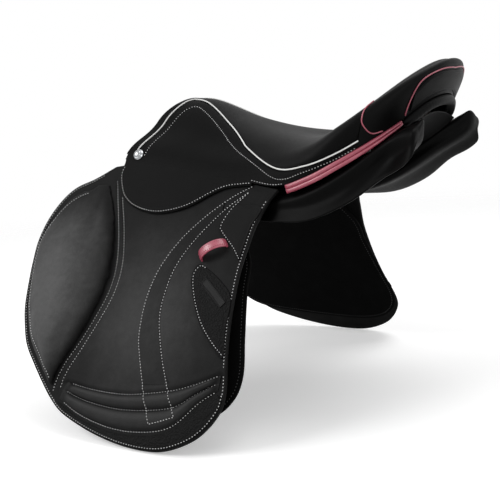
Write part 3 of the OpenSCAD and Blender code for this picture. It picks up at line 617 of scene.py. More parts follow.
@dataclass(frozen=True)
class Metal(Finish):
    """Metal with fine wear."""

    colour: Colour
    roughness: float
    scratch: float = 260.0

    def shade(self, shade: Shade) -> None:
        """Stretched noise gives the wear's gloss and bump, clouds its tarnish."""
        place = shade.place()
        run = shade.node("ShaderNodeMapping", {}, {"Vector": place, "Scale": (0.12, 1.0, 1.0)})
        wear_and_painted_highlight = shade.noise(self.scratch, 5.0, 0.7, run)
        tarnish = shade.noise(40.0, 4.0, 0.6, place).within(0.35, 0.8)
        dull = tuple(0.72 * c for c in self.colour)
        colour = shade.mix(tarnish * 0.6, self.colour, dull)
        gloss = self.roughness + 0.16 * (wear_and_painted_highlight - 0.5) + 0.08 * tarnish
        shade.surface(colour, gloss, 0.5, shade.bump(wear_and_painted_highlight, 0.00003), {"Metallic": 1.0})


@dataclass(frozen=True)
class Foam(Finish):
    """Open-celled foam."""

    colour: Colour = (0.6, 0.52, 0.33)

    def shade(self, shade: Shade) -> None:
        """Cells give the bump; the pits are darkened as painted shade, and aged places darker at random."""
        place = shade.place()
        cells = shade.node("ShaderNodeTexVoronoi", {}, {"Vector": place, "Scale": 900.0}, "Distance")
        shaded_pit = 1 - cells.within(0.1, 0.5)
        aged = shade.noise(12.0, 4.0, 0.6, place).within(0.35, 0.75)
        dark = tuple(0.55 * c for c in self.colour)
        # painted shade in the pits, plus random aged tone
        colour = shade.mix(shaded_pit * 0.5 + aged * 0.35, self.colour, dark)
        shade.surface(colour, 0.9 + 0.05 * shaded_pit, 0.15, shade.bump(cells, 0.0004))


@dataclass(frozen=True)
class Webbing(Finish):
    """Flat woven tape: threads over and under in two directions."""

    colour: Colour = (0.5, 0.46, 0.38)
    pitch: float = 520.0

    def shade(self, shade: Shade) -> None:
        """Two crossed waves, multiplied, give the weave's rise and painted shade in its gaps; noise adds
        soil.
        """
        place = shade.place()
        inputs = {0: place, 1: self.pitch}
        warp = shade.node("ShaderNodeTexWave", {"bands_direction": "X"}, inputs, 1)
        weft = shade.node("ShaderNodeTexWave", {"bands_direction": "Y"}, inputs, 1)
        weave = warp * weft
        soil = shade.noise(30.0, 4.0, 0.6, place)
        dark = tuple(0.4 * c for c in self.colour)
        # painted shade between the threads, plus soil
        colour = shade.mix((1 - weave) * 0.5 + soil * 0.3, self.colour, dark)
        shade.surface(colour, 0.82 + 0.1 * soil, 0.2, shade.bump(weave, 0.00025))


@dataclass(frozen=True)
class Wood(Finish):
    """Laminated beech, stained dark, under clear lacquer."""

    colour: Colour = (0.070, 0.042, 0.024)
    dark: Colour = (0.032, 0.019, 0.011)

    def shade(self, shade: Shade) -> None:
        """Long stretched noise for the grain, fine noise for the pores."""
        place = shade.place()
        run = shade.node("ShaderNodeMapping", {}, {"Vector": place, "Scale": (1.0, 9.0, 9.0)})
        grain = shade.noise(22.0, 7.0, 0.62, run)
        pores = shade.noise(420.0, 2.0, 0.5, run)
        colour = shade.mix(grain.within(0.3, 0.7), self.colour, self.dark)
        rise = shade.bump(grain + 0.4 * pores, 0.00012)
        shade.surface(colour, 0.42 + 0.2 * pores, 0.5, rise, {"Coat Weight": 0.15})


SEAT_LEATHER = Leather("seat_leather", grey(3), grey(16), 0.44, 1500.0, 0.00005, 0.20, 0.06)
SIDE_LEATHER = Leather("side_leather", grey(4), grey(16), 0.50, 1300.0, 0.00006, 0.20, 0.05)
CANTLE_LEATHER = Leather("cantle_leather", grey(3), grey(16), 0.40, 1500.0, 0.00005, 0.20, 0.07)
PANEL_LEATHER = Leather("panel_leather", grey(2), grey(9), 0.42, 1400.0, 0.00005, 0.20, 0.05)
FLAP_LEATHER = Leather("flap_leather", grey(18), grey(60), 0.54, 1000.0, 0.00008, 0.10, 0.06)
PAD_LEATHER = Leather("pad_leather", grey(20), grey(86), 0.54, 620.0, 0.00012, 0.08, 0.07)
RIB_LEATHER = Leather("rib_leather", grey(10), grey(48), 0.44, 900.0, 0.00008, 0.10, 0.10)
GRAIN_LEATHER = Leather("grain_leather", grey(6), grey(22), 0.46, 400.0, 0.0004, 0.25, 0.07)
LABEL_LEATHER = Leather("label_leather", grey(10), grey(30), 0.40, 1400.0, 0.00006, 0.40, 0.10)
PINK_LEATHER = Leather(
    "pink_leather", tone(156, 64, 82), tone(200, 112, 128), 0.24, 1500.0, 0.00005, 0.4, 0.80
)
WHITE_LEATHER = Leather("white_leather", tone(226, 226, 224), tone(204, 203, 200), 0.45, 1500.0, 0.00004, 0.4)
SWEAT_LEATHER = Leather("sweat_leather", grey(4), grey(14), 0.75, 700.0, 0.00010, 0.4, 0.04)
STRAP_LEATHER = Leather("strap_leather", tone(38, 28, 24), tone(78, 62, 52), 0.46, 1100.0, 0.00006, 0.5, 0.2)
THREAD = Thread("stitching", grey(228), grey(176))
DARK_THREAD = Thread("dark_stitching", grey(74), grey(40))
PINK_THREAD = Thread("pink_stitching", tone(150, 62, 80), tone(112, 44, 60))
CHROME = Metal("nail_chrome", (0.36, 0.37, 0.38), 0.14)
PLATE_STEEL = Metal("plate_steel", (0.32, 0.33, 0.35), 0.42)
BAR_STEEL = Metal("bar_steel", (0.56, 0.57, 0.58), 0.30)
BRASS = Metal("rivet_brass", (0.62, 0.46, 0.20), 0.30)
FOAM = Foam("foam")
WEBBING = Webbing("webbing")
TREE_WOOD = Wood("tree_wood")


def dress(
    made: Piece,
    finish: Finish,
    body: str,
    stands_for: Sequence[str] = (),
) -> None:
    """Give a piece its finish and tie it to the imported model.

    Args:
        made: The piece.
        finish: Its finish.
        body: Body that it rides on.
        stands_for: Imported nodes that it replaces.
    """
    made.data.materials.clear()
    made.data.materials.append(finish.material())
    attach(made, body)
    if stands_for:
        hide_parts(*stands_for)
    LOG.info("%s rides on %s in %s", made.name, body, finish.name)


# The two surfaces that everything lies on


@dataclass(frozen=True)
class FlapPlane:
    """A left flap's own frame: u back, v down the slope, n out from its inner face."""

    half: float = 103.14
    rise: float = 86.526
    tilt: float = 30.0
    length: float = 380.0
    drop: float = 390.0
    fold_front: Pair = (-210.9, 1.95)
    fold_rear: Pair = (42.94, 44.07)
    fold_gap: float = 0.4
    flap_outer: float = 5.0
    skirt_inner: float = 5.5
    skirt_outer: float = 9.0
    sweat_outer: float = -13.0
    sweat_inner: float = -16.5

    def spots(self, shares: Shares) -> Array:
        """Places in u and v from shares of the flap's length and drop."""
        return np.asarray(shares, float) * np.array([self.length, self.drop])

    def even(self, shares: Shares, fine: int, count: int) -> Array:
        """Places at even distances along a smooth curve, worked out through a fine one."""
        return resample(smooth_path(self.spots(shares), fine), count)

    def fold(self, u: Array) -> Array:
        """Place of the fold line at u."""
        run = (np.asarray(u, float) - self.fold_front[0]) / (self.fold_rear[0] - self.fold_front[0])
        return self.fold_front[1] + (self.fold_rear[1] - self.fold_front[1]) * run

    def place(self, spots: Array, n: Union[Array, float]) -> Array:
        """Places in the CAD frame for spots in u and v at heights n."""
        lean = math.radians(self.tilt)
        u, v = spots[..., 0], spots[..., 1]
        y = -(self.half + v * math.sin(lean) + n * math.cos(lean))
        z = self.rise - v * math.cos(lean) + n * math.sin(lean)
        return np.stack([u, y, z], -1)

    def flat(self, places: Array) -> Array:
        """Back from left-hand places to u, v and n."""
        start = self.place(np.zeros(2), 0.0)
        down = self.place(np.array([0.0, 1.0]), 0.0) - start
        gap = places - start
        return np.stack([gap[..., 0], gap @ down, gap @ self.out()], -1)

    def out(self) -> Array:
        """Direction out of the left flap."""
        lean = math.radians(self.tilt)
        return np.array([0.0, -math.cos(lean), math.sin(lean)])

    def outs(self, path: Array) -> Array:
        """That direction at every place of a path."""
        return np.broadcast_to(self.out(), path.shape)


@dataclass
class SeatShape:
    """The seat's outer surface, as a fan of sections from the spine over the rim to the lower edge.

    Station rows hold shares of length, rise and half width: spine place, height and slope, rim place,
    half width, height and lean, then lower edge place, half width, height and lean.
    """

    plane: FlapPlane = field(default_factory=FlapPlane)
    length: float = 440.0
    half: float = 135.0
    rise: float = 198.0
    inner_handle: float = 0.36
    outer_handle: float = 0.40
    step: float = 0.02
    fold_stations: int = 5
    side_last: float = 20 / 3
    stations: Shares = (
        (-0.37, 0.843, 0, -0.428, 0.415, 0.697, -48, -0.48, 0, 0, -60),
        (-0.289, 0.818, -0.3, -0.295, 0.444, 0.667, -46, -0.332, 0, 0, -60),
        (-0.164, 0.692, -0.4, -0.164, 0.548, 0.571, -44, -0.177, 0, 0, -60),
        (-0.045, 0.606, -0.26, -0.041, 0.667, 0.505, -38, -0.034, 0, 0, -62),
        (0.068, 0.556, -0.16, 0.082, 0.785, 0.475, -32, 0.091, 0, 0, -76),
        (0.141, 0.535, -0.06, 0.195, 0.859, 0.525, -18, 0.191, 1, 0.328, -92),
        (0.191, 0.535, 0.03, 0.291, 0.867, 0.636, -4, 0.282, 0.941, 0.424, -100),
        (0.223, 0.543, 0.14, 0.377, 0.785, 0.758, 0, 0.368, 0.815, 0.53, -104),
        (0.255, 0.558, 0.28, 0.461, 0.578, 0.894, 0, 0.436, 0.607, 0.638, -106),
        (0.282, 0.581, 0.42, 0.505, 0.296, 0.97, 0, 0.484, 0.311, 0.748, -106),
        (0.295, 0.596, 0.48, 0.516, 0, 0.995, 0, 0.498, 0, 0.776, -106),
    )
    cover_edges: Shares = ((0.20,), (0.28,), (0.65,), (1.08,), (1.55,), (1.73,), (1.84,), (1.84,))
    rim_edges: Shares = ((20 / 3, 1.84), (6.72, 1.43), (6.81, 1.13), (7.06, 1.00), (10, 1.00))

    def __post_init__(self) -> None:
        """Turn the shares into millimetres, and mirror the last station but one past the end."""
        size = np.array([1, 0, 0, 1, 0, 0, 0, 1, 0, 0, 0]) * self.length
        size += np.array([0, 1, 0, 0, 0, 1, 0, 0, 0, 1, 0]) * self.rise
        size += np.array([0, 0, 0, 0, 1, 0, 0, 0, 1, 0, 0]) * self.half
        size += np.array([0, 0, 1, 0, 0, 0, 1, 0, 0, 0, 1])
        rows = np.asarray(self.stations, float) * size
        u = rows[: self.fold_stations, 7]
        spots = np.stack([u, self.plane.fold(u) - self.plane.fold_gap], -1)
        rows[: self.fold_stations, 7:10] = mirrored(self.plane.place(spots, self.plane.skirt_outer))
        past = rows[-2] * np.array([1, 1, 1, 1, -1, 1, 1, 1, -1, 1, 1])
        self.rows = np.vstack([rows, past])
        self.last = float(len(self.stations) - 1)

    def point(self, s: Array, v: Array) -> Array:
        """Place on the outer surface, half width positive: v is 0 on the spine, 1 on the rim, 2 below.

        Two Bezier curves meet at the rim, and their handles follow the slope and the leans.
        """
        s, v = np.broadcast_arrays(np.asarray(s, float), np.asarray(v, float))
        r = np.moveaxis(smooth(self.rows, s), -1, 0)
        zero = np.zeros_like(s)
        spine = np.stack([r[0], zero, r[1]], -1)
        rim = np.stack([r[3], r[4], r[5]], -1)
        edge = np.stack([r[7], r[8], r[9]], -1)
        out = unit(np.stack([r[7] - r[0], r[8], zero], -1))
        ray = unit(np.stack([np.maximum(0, r[3] - r[0]), r[4], zero], -1))
        up = np.array([0.0, 0.0, 1.0])
        start = ray + up * (r[2] * ray[..., 0])[..., None]
        lean, drop = np.radians(r[6])[..., None], np.radians(r[10])[..., None]
        over = out * np.cos(lean) + up * np.sin(lean)
        last = out * np.cos(drop) + up * np.sin(drop)
        d = np.linalg.norm(rim - spine, axis=-1, keepdims=True) * self.inner_handle
        e = np.linalg.norm(edge - rim, axis=-1, keepdims=True) * self.outer_handle
        t = v[..., None]
        inner = bezier(spine, spine + start * d, rim - over * d, rim, np.minimum(t, 1))
        outer = bezier(rim, rim + over * e, edge - last * e, edge, np.maximum(t - 1, 0))
        return np.where(t <= 1, inner, outer)

    def normal(self, s: Array, v: Array) -> Array:
        """Outward direction, half width positive, from the steps along and across the surface."""
        s, v = np.broadcast_arrays(np.asarray(s, float), np.asarray(v, float))
        along = self.point(s + self.step, v) - self.point(np.maximum(0, s - self.step), v)
        across = self.point(s, np.minimum(2, v + self.step)) - self.point(s, np.maximum(0, v - self.step))
        slope = smooth(self.rows, s)[..., 2]
        spine = unit(np.stack([-slope, np.zeros_like(slope), np.ones_like(slope)], -1))
        return np.where((v < self.step)[..., None], spine, unit(np.cross(along, across)))

    def place(self, s: Array, v: Array, depth: Union[Array, float] = 0.0) -> Array:
        """Left-hand place at a depth below the outer surface."""
        return mirrored(self.point(s, v) - np.asarray(depth)[..., None] * self.normal(s, v))

    def cover_edge(self, s: Array) -> Array:
        """Where the cover ends at each station: along the sides, then up to the cantle's rim."""
        side = smooth(self.cover_edges, np.minimum(s, self.side_last))[..., 0]
        return np.where(s <= self.side_last, side, np.interp(s, *np.transpose(self.rim_edges)))

    def rim_stations(self, front: int, steep: int, back: int) -> Array:
        """Stations from the first to the last, close together where the cover's edge climbs."""
        turn = self.rim_edges[3][0]
        runs = [(0, self.side_last, front), (self.side_last, turn, steep), (turn, self.last, back)]
        return np.concatenate([[0.0]] + [np.linspace(*run)[1:] for run in runs])


# Stitching


@dataclass(frozen=True)
class StitchRow:
    """A row of stitches: pitch, length and thickness of one stitch, and its slant in degrees."""

    pitch: float = 4.1
    length: float = 1.6
    thread: float = 1.05
    slant: float = 7.0
    sides: int = 5
    ring_places: Sequence[float] = (-0.5, -0.3, 0.3, 0.5)
    ring_rises: Sequence[float] = (-0.35, 0.12, 0.12, -0.35)
    ring_radii: Sequence[float] = (0.3, 0.5, 0.5, 0.3)

    def stitches(self, path: Array, out: Array) -> Array:
        """Places of every stitch along a path.

        A stitch is a thread whose middle stands out of the leather and whose ends dive into it: rings at
        shares of its length, each with a rise and a radius as shares of the thread.

        Args:
            path: Places on the surface in order.
            out: Outward direction at each place.

        Returns:
            Stitches by rings by sides by three.
        """
        count = max(2, int(lengths(path)[-1] / self.pitch))
        rows = resample(path, 2 * count + 1, out)
        middle = rows[1::2]
        along = unit(rows[2::2, :3] - rows[:-1:2, :3])
        out = unit(middle[:, 3:] - along * (middle[:, 3:] * along).sum(-1, keepdims=True))
        side = np.cross(along, out)
        turn = math.radians(self.slant)
        slanted = along * math.cos(turn) + side * math.sin(turn)
        side = side * math.cos(turn) - along * math.sin(turn)
        run = np.array(self.ring_places) * self.length
        rise = np.array(self.ring_rises) * self.thread
        radius = np.array(self.ring_radii) * self.thread
        spine = middle[:, None, :3] + slanted[:, None] * run[:, None] + out[:, None] * rise[:, None]
        ring = radius[:, None, None] * circle(1.0, self.sides)
        return (
            spine[:, :, None]
            + out[:, None, None] * ring[None, :, :, :1]
            + side[:, None, None] * ring[None, :, :, 1:]
        )

    def piece(self, name: str, runs: Sequence[Run]) -> Piece:
        """One object with the stitches of several runs.

        Args:
            name: Name of the piece.
            runs: Path and outward directions of each run.

        Returns:
            The new object.
        """
        all_rings = np.concatenate([self.stitches(path, out) for path, out in runs])
        count, rings = all_rings.shape[:2]
        first = np.arange(count)[:, None, None] * rings * self.sides
        body = (first + quads(rings, self.sides, ring=True)[None]).reshape(-1, 4)
        caps = np.stack([np.arange(self.sides), (rings - 1) * self.sides + np.arange(self.sides)[::-1]])
        ends = (first + caps[None]).reshape(-1, self.sides)
        return make_object(name, all_rings.reshape(-1, 3), [body, ends], crisp=85.0)

    def sew(self, stem: str, runs: Sequence[Run], thread: Thread, body: str) -> None:
        """Stitch the left side's runs and their mirror.

        Args:
            stem: Name of the piece without its side.
            runs: Path and outward directions of each run on the left.
            thread: The thread's finish.
            body: As for both_sides.
        """
        both_sides(self.piece(Side.LEFT.name_of(stem), runs), stem, thread, body)


STITCHES = StitchRow()
FINE_STITCHES = StitchRow(2.8, 1.8, 0.7)


def both_sides(
    made: Piece,
    stem: str,
    finish: Finish,
    body: str,
    stands: bool = False,
) -> None:
    """Dress a left piece and its mirror.

    Args:
        made: The left piece.
        stem: Name without its side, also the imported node's stem when stands is set.
        finish: The finish of both.
        body: "saddle", or the stem of a body that each side has.
        stands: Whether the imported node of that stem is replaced.
    """
    pieces = {Side.LEFT: made, Side.RIGHT: mirror_object(made, Side.RIGHT.name_of(stem + "_made"))}
    made.name = Side.LEFT.name_of(stem + "_made")
    for side, piece in pieces.items():
        nodes = [side.name_of(stem)] if stands else []
        rider = body if body == "saddle" else side.name_of(body)
        dress(piece, finish, rider, nodes)


# Sub-assemblies


@dataclass
class Seat:
    """Seat cover, foam, sides, white piping, the facing of the pommel and their stitching."""

    shape: SeatShape
    cover: float = 3.0
    foam: float = 12.0
    gap: float = 0.3
    rows: int = 90
    columns: int = 40
    seam: Ridge = Ridge(1.3, 0.0, 3.0)
    cover_span: float = 70.0
    piping: float = 0.95
    piping_lift: float = 0.5
    front_station: float = 0.2
    front_run: float = 1.8
    front_bend: float = 0.12
    facing: float = 2.4
    facing_reach: float = 1.9
    facing_depth: float = 28.0
    facing_bulge: float = 0.6
    facing_grid: tuple[int, int] = (12, 121)
    foam_edge: float = 0.8
    foam_limit: float = 0.85
    foam_first: float = 1 / 3
    foam_rim: Pair = (0.8, 1.2)
    foam_rounding: float = 1 / 12
    seam_route: Shares = (
        (0.46, 1.9), (0.43, 1.55), (0.43, 1.19), (0.47, 0.9), (0.57, 0.64), (0.78, 0.53), (1.12, 0.6),
        (2.05, 0.94), (3.1, 1.4), (3.85, 1.78), (4.3, 1.87), (4.8, 1.87), (5.3, 1.9), (5.98, 1.965),
        (6.6, 1.975),
    )
    tail_route: Shares = ((3.30, 1.955), (3.75, 1.965), (4.25, 1.97))

    def build(self) -> None:
        """Make every piece of the seat."""
        self.make_cover()
        self.make_foam()
        self.make_sides()
        self.make_piping()
        self.make_facing()
        self.make_stitching()

    def fan(self, s: Array, reach: Array, depth: Callable[[Array], Array]) -> Array:
        """Grid over both sides: columns run from the left edge over the spine to the right edge.

        Args:
            s: Stations of the rows.
            reach: Section share of the edge at each station.
            depth: Depth below the surface, from the share of the reach.

        Returns:
            Rows by columns by three.
        """
        share = np.broadcast_to(np.linspace(1, 0, self.columns + 1), (len(s), self.columns + 1))
        left = self.shape.place(s[:, None], reach[:, None] * share, depth(share))
        left[:, -1, 1] = 0.0
        return np.concatenate([left, mirrored(left[:, -2::-1])], axis=1)

    def make_cover(self) -> None:
        """Cover: the fan at depth 0, drawn in to the piping's seam at its edge."""
        s = self.shape.rim_stations(90, 26, 34)
        reach = self.shape.cover_edge(s)
        top = self.fan(s, reach, lambda share: self.seam.at((1 - share) * self.cover_span))
        low = self.fan(s, reach, lambda share: np.full(share.shape, self.cover))
        made = sheet("seat_cover_made", top, low, end=False, weld=0.02)
        dress(made, SEAT_LEATHER, "saddle", ["seat_cover"])

    def make_foam(self) -> None:
        """Foam: the same fan between two depths, short of the cover's edge."""
        s = np.linspace(self.foam_first, self.shape.last, self.rows)
        reach = self.foam_edge * np.minimum(self.shape.cover_edge(s), self.foam_limit)
        top = self.cover + self.gap
        above, below = self.foam_rim

        def full(share: Array) -> Array:
            """Share of the whole thickness, 0 on the edge."""
            return ramp(1 - share, 0, self.foam_rounding)

        low = self.fan(s, reach, lambda share: top + below + (self.foam - below) * full(share))
        high = self.fan(s, reach, lambda share: top + above - above * full(share))
        made = sheet("seat_foam_made", high, low, end=False, weld=0.02)
        dress(made, FOAM, "saddle", ["seat_foam"])

    def make_sides(self) -> None:
        """Sides: from the cover's edge down to the fold line or the lower edge."""
        s = np.linspace(0, self.shape.side_last, 100)[:, None]
        share = np.linspace(0, 1, 40)
        edge = self.shape.cover_edge(s)
        v = edge + (2 - edge) * share
        run = np.linalg.norm(np.diff(self.shape.place(s, v), axis=1), axis=-1)
        away = np.concatenate([np.zeros((len(s), 1)), np.cumsum(run, axis=1)], axis=1)
        outer = self.shape.place(s, v, self.seam.at(away))
        made = sheet("seat_side_left", outer, self.shape.place(s, v, self.cover))
        both_sides(made, "seat_side", SIDE_LEATHER, "saddle", stands=True)

    def piping_route(self) -> tuple[Array, Array]:
        """Stations and section shares: up behind the front edge, then back along the cover."""
        top = float(self.shape.cover_edge(np.array(self.front_station))) + self.front_bend
        rise = np.linspace(self.front_run, top, 12)
        front = np.stack([np.full(len(rise), self.front_station), rise], -1)
        s = np.linspace(self.front_station + self.front_bend, self.shape.side_last, 60)
        back = np.stack([s, self.shape.cover_edge(s)], -1)
        return tuple(smooth_path(np.vstack([front, back]), 240).T)

    def make_piping(self) -> None:
        """White piping: a round profile carried along its route."""
        s, v = self.piping_route()
        path = self.shape.place(s, v, -self.piping_lift)
        out = mirrored(self.shape.normal(s, v))
        rings = sweep(path, out, circle(self.piping, 12))
        left = tube("seat_piping_left", rings)
        for made in (left, mirror_object(left, "seat_piping_right")):
            dress(made, WHITE_LEATHER, "saddle", ["seat_piping"])

    def make_facing(self) -> None:
        """Facing of the pommel: a band in front of the tree's head, under the front edge."""
        rows, columns = self.facing_grid
        share = np.linspace(-1, 1, columns)
        depth = np.linspace(0, self.facing_depth, rows)[:, None]
        v = np.broadcast_to(self.facing_reach * np.abs(share), self.facing_grid)
        left = self.shape.place(np.zeros_like(v), v, np.broadcast_to(depth, v.shape))
        band = np.where((share > 0)[None, :, None], mirrored(left), left)
        bulge = self.facing_bulge * np.sin(np.linspace(0, math.pi, rows))[:, None]
        front = band - np.stack([self.gap + self.facing + bulge + 0 * v, 0 * v, 0 * v], -1)
        back = band - np.array([self.gap, 0.0, 0.0])
        made = sheet("pommel_facing_made", front, back)
        soften(made, 0.6)
        dress(made, SIDE_LEATHER, "saddle", ["pommel_facing"])

    def make_stitching(self) -> None:
        """Row round the side below the piping, and a short one on its tail behind the skirt."""
        routes = [smooth_path(route, 320) for route in (self.seam_route, self.tail_route)]
        runs = [(self.shape.place(*route.T), mirrored(self.shape.normal(*route.T))) for route in routes]
        STITCHES.sew("seat_stitching", runs, THREAD, "saddle")


@dataclass
class Cantle:
    """Facing, bare plate, pink piping, roll and double welts at the back of the seat."""

    shape: SeatShape
    cover: float = 3.0
    plate_first: float = 8.26
    plate_tops: Shares = ((1.60,), (1.43,), (1.435,), (1.47,), (1.50,))
    plate_bottom: float = 1.93
    plate_lift: float = 2.2
    plate_base: float = 0.2
    plate_rim: float = 0.12
    plate_edge: float = 0.35
    seam: Ridge = Ridge(1.2, 0.0, 3.0)
    facing_span: float = 60.0
    facing_gap: float = 0.008
    piping: float = 0.85
    piping_lift: float = 0.75
    roll: float = 7.0
    roll_drop: float = 1.5
    roll_inset: float = 3.0
    roll_first: float = 8.1
    roll_blunt: float = 14.0
    roll_tip: float = 0.04
    crease_depth: float = 0.02
    crease_pace: float = 47.0
    welt_first: float = 13 / 3
    welt_last: float = 24 / 3
    welt_width: float = 11.0
    welt_thickness: float = 7.0
    welt_end: float = 0.5
    welt_valley: float = 0.42
    welt_round: float = 0.6
    welt_drop: float = 0.3
    welt_tip_rows: float = 3.0
    plate_route: Shares = (
        (8.12, 1.95), (8.16, 1.77), (8.24, 1.55), (8.36, 1.42), (8.6, 1.37), (9.1, 1.375), (9.6, 1.41),
        (10, 1.44),
    )
    patch_route: Shares = (
        (7.06, 1), (6.81, 1.13), (6.72, 1.43), (6.85, 1.67), (7.08, 1.87), (7.4, 1.96),
    )

    def build(self) -> None:
        """Make every piece of the cantle."""
        self.make_facing()
        self.make_plate()
        self.make_piping()
        self.make_roll()
        self.make_welts()

    def around(self, rows: Array) -> tuple[Array, Array]:
        """Rows from the left round the back to the right, and the sign of each one's side."""
        side = np.ones(2 * len(rows) - 1)
        side[len(rows):] = -1
        return np.concatenate([rows, rows[-2::-1]]), side

    def behind(self, first: float, count: int) -> Array:
        """Even stations from the first one to the middle of the back."""
        return np.linspace(first, self.shape.last, count)

    def wrapped(self, s: Array, side: Array, v: Array, depth: Union[Array, float]) -> Array:
        """Places round the back; the right half is the left half's mirror."""
        s = np.broadcast_to(s[:, None], v.shape)
        left = self.shape.place(s, v, np.broadcast_to(depth, v.shape))
        return np.where((side < 0)[:, None, None], mirrored(left), left)

    def plate_top(self, s: Array) -> Array:
        """Upper edge of the plate at each station."""
        run = (s - self.plate_first) / (self.shape.last - self.plate_first)
        return smooth(self.plate_tops, run * (len(self.plate_tops) - 1))[..., 0]

    def make_facing(self) -> None:
        """Facing: from the cover's edge down to the lower edge, all round the back."""
        rows = self.shape.rim_stations(2, 26, 44)
        s, side = self.around(rows[rows >= self.shape.side_last])
        share = np.linspace(0, 1, 40)
        edge = self.shape.cover_edge(s)[:, None] + self.facing_gap
        v = 2 + (edge - 2) * share
        outer = self.wrapped(s, side, v, self.seam.at((1 - share) * self.facing_span))
        made = sheet("cantle_facing_made", outer, self.wrapped(s, side, v, self.cover))
        dress(made, CANTLE_LEATHER, "saddle", ["cantle_facing"])

    def make_plate(self) -> None:
        """Bare plate: a thin crowned panel on the back of the facing."""
        s, side = self.around(self.behind(self.plate_first, 60))
        share = np.linspace(0, 1, 30)
        v = self.plate_bottom + (self.plate_top(s)[:, None] - self.plate_bottom) * share
        full = self.plate_edge + (1 - self.plate_edge) * ramp(np.minimum(share, 1 - share), 0, self.plate_rim)
        lift = self.plate_base + (self.plate_lift - self.plate_base) * full
        base = self.wrapped(s, side, v, -self.plate_base)
        made = sheet("cantle_plate_made", self.wrapped(s, side, v, -lift), base)
        soften(made, 0.5)
        dress(made, CANTLE_LEATHER, "saddle", ["cantle_plate"])

    def cord(self, name: str, s: Array, v: Array, side: Optional[Array] = None) -> Piece:
        """Round piping on the surface along stations s and shares v."""
        path = self.shape.place(s, v, -self.piping * self.piping_lift)
        out = mirrored(self.shape.normal(s, v))
        if side is not None:
            flip = (side < 0)[:, None]
            path = np.where(flip, mirrored(path), path)
            out = np.where(flip, mirrored(out), out)
        return tube(name, sweep(path, out, circle(self.piping, 12)))

    def make_piping(self) -> None:
        """Pink piping round the plate's top and down each side patch."""
        rows, side = self.around(smooth_path(self.plate_route, 120))
        plate = self.cord("cantle_piping_plate", rows[:, 0], rows[:, 1], side)
        dress(plate, PINK_LEATHER, "saddle", ["cantle_piping"])
        route = smooth_path(self.patch_route, 60)
        left = self.cord("cantle_piping_left", route[:, 0], route[:, 1])
        for made in (left, mirror_object(left, "cantle_piping_right")):
            dress(made, PINK_LEATHER, "saddle", ["cantle_piping"])

    def make_roll(self) -> None:
        """Roll under the cantle: a round profile with shallow creases, tapering at its ends."""
        s, side = self.around(self.behind(self.roll_first, 80))
        path = self.shape.place(s, np.full(len(s), 2.0), self.roll_inset)
        path = path - np.array([0, 0, self.roll + self.roll_drop])
        path = np.where((side < 0)[:, None], mirrored(path), path)
        run = np.linspace(-1, 1, len(s))
        taper = np.sqrt(np.clip(1 - np.abs(run) ** self.roll_blunt, self.roll_tip, 1))
        crease = 1 - self.crease_depth * np.sin(run * self.crease_pace) ** 2
        profile = circle(self.roll, 28)[None] * (taper * crease)[:, None, None]
        up = np.broadcast_to([0.0, 0.0, 1.0], path.shape)
        made = tube("cantle_roll_made", sweep(path, up, profile))
        dress(made, CANTLE_LEATHER, "saddle", ["cantle_roll"])

    def make_welts(self) -> None:
        """Double welt: two rounded ridges side by side, carried along the seat's lower edge."""
        s = np.linspace(self.welt_first, self.welt_last, 120)
        base = self.shape.place(s, np.full(len(s), 2.0))
        along = unit(np.gradient(base, axis=0))
        down = unit(np.array([0.0, 0.0, -1.0]) + along * along[:, 2:])
        out = np.cross(down, along)
        width = self.welt_width * (1 - self.welt_end * np.linspace(0, 1, len(s)) ** 3)
        half = 0.5 * self.welt_thickness
        share = np.linspace(0, 1, 33)
        ridges = np.abs(np.sin(2 * math.pi * share)) ** self.welt_round
        crown = half * (self.welt_valley + (1 - self.welt_valley) * ridges)
        row = np.arange(len(s))
        ends = ease(np.minimum(row, row[::-1]) / self.welt_tip_rows)[:, None]
        front = crown * (0.35 + 0.65 * ends)
        back = np.full(8, -half)[None] * (0.6 + 0.4 * ends)
        across = np.concatenate([share, np.linspace(1, 0, 8)])
        depth = np.concatenate([front, back], axis=1)
        top = base + down * self.welt_drop
        fall = down[:, None] * (width[:, None] * across)[..., None]
        made = tube("rear_welt_left", top[:, None] + fall + out[:, None] * depth[..., None])
        both_sides(made, "rear_welt", PINK_LEATHER, "saddle", stands=True)
        seam = top + down * (width * 0.5)[:, None] + out * (self.welt_valley * half + 0.2)
        runs = [(seam[3:-3], out[3:-3])]
        FINE_STITCHES.sew("welt_stitching", runs, PINK_THREAD, "saddle")


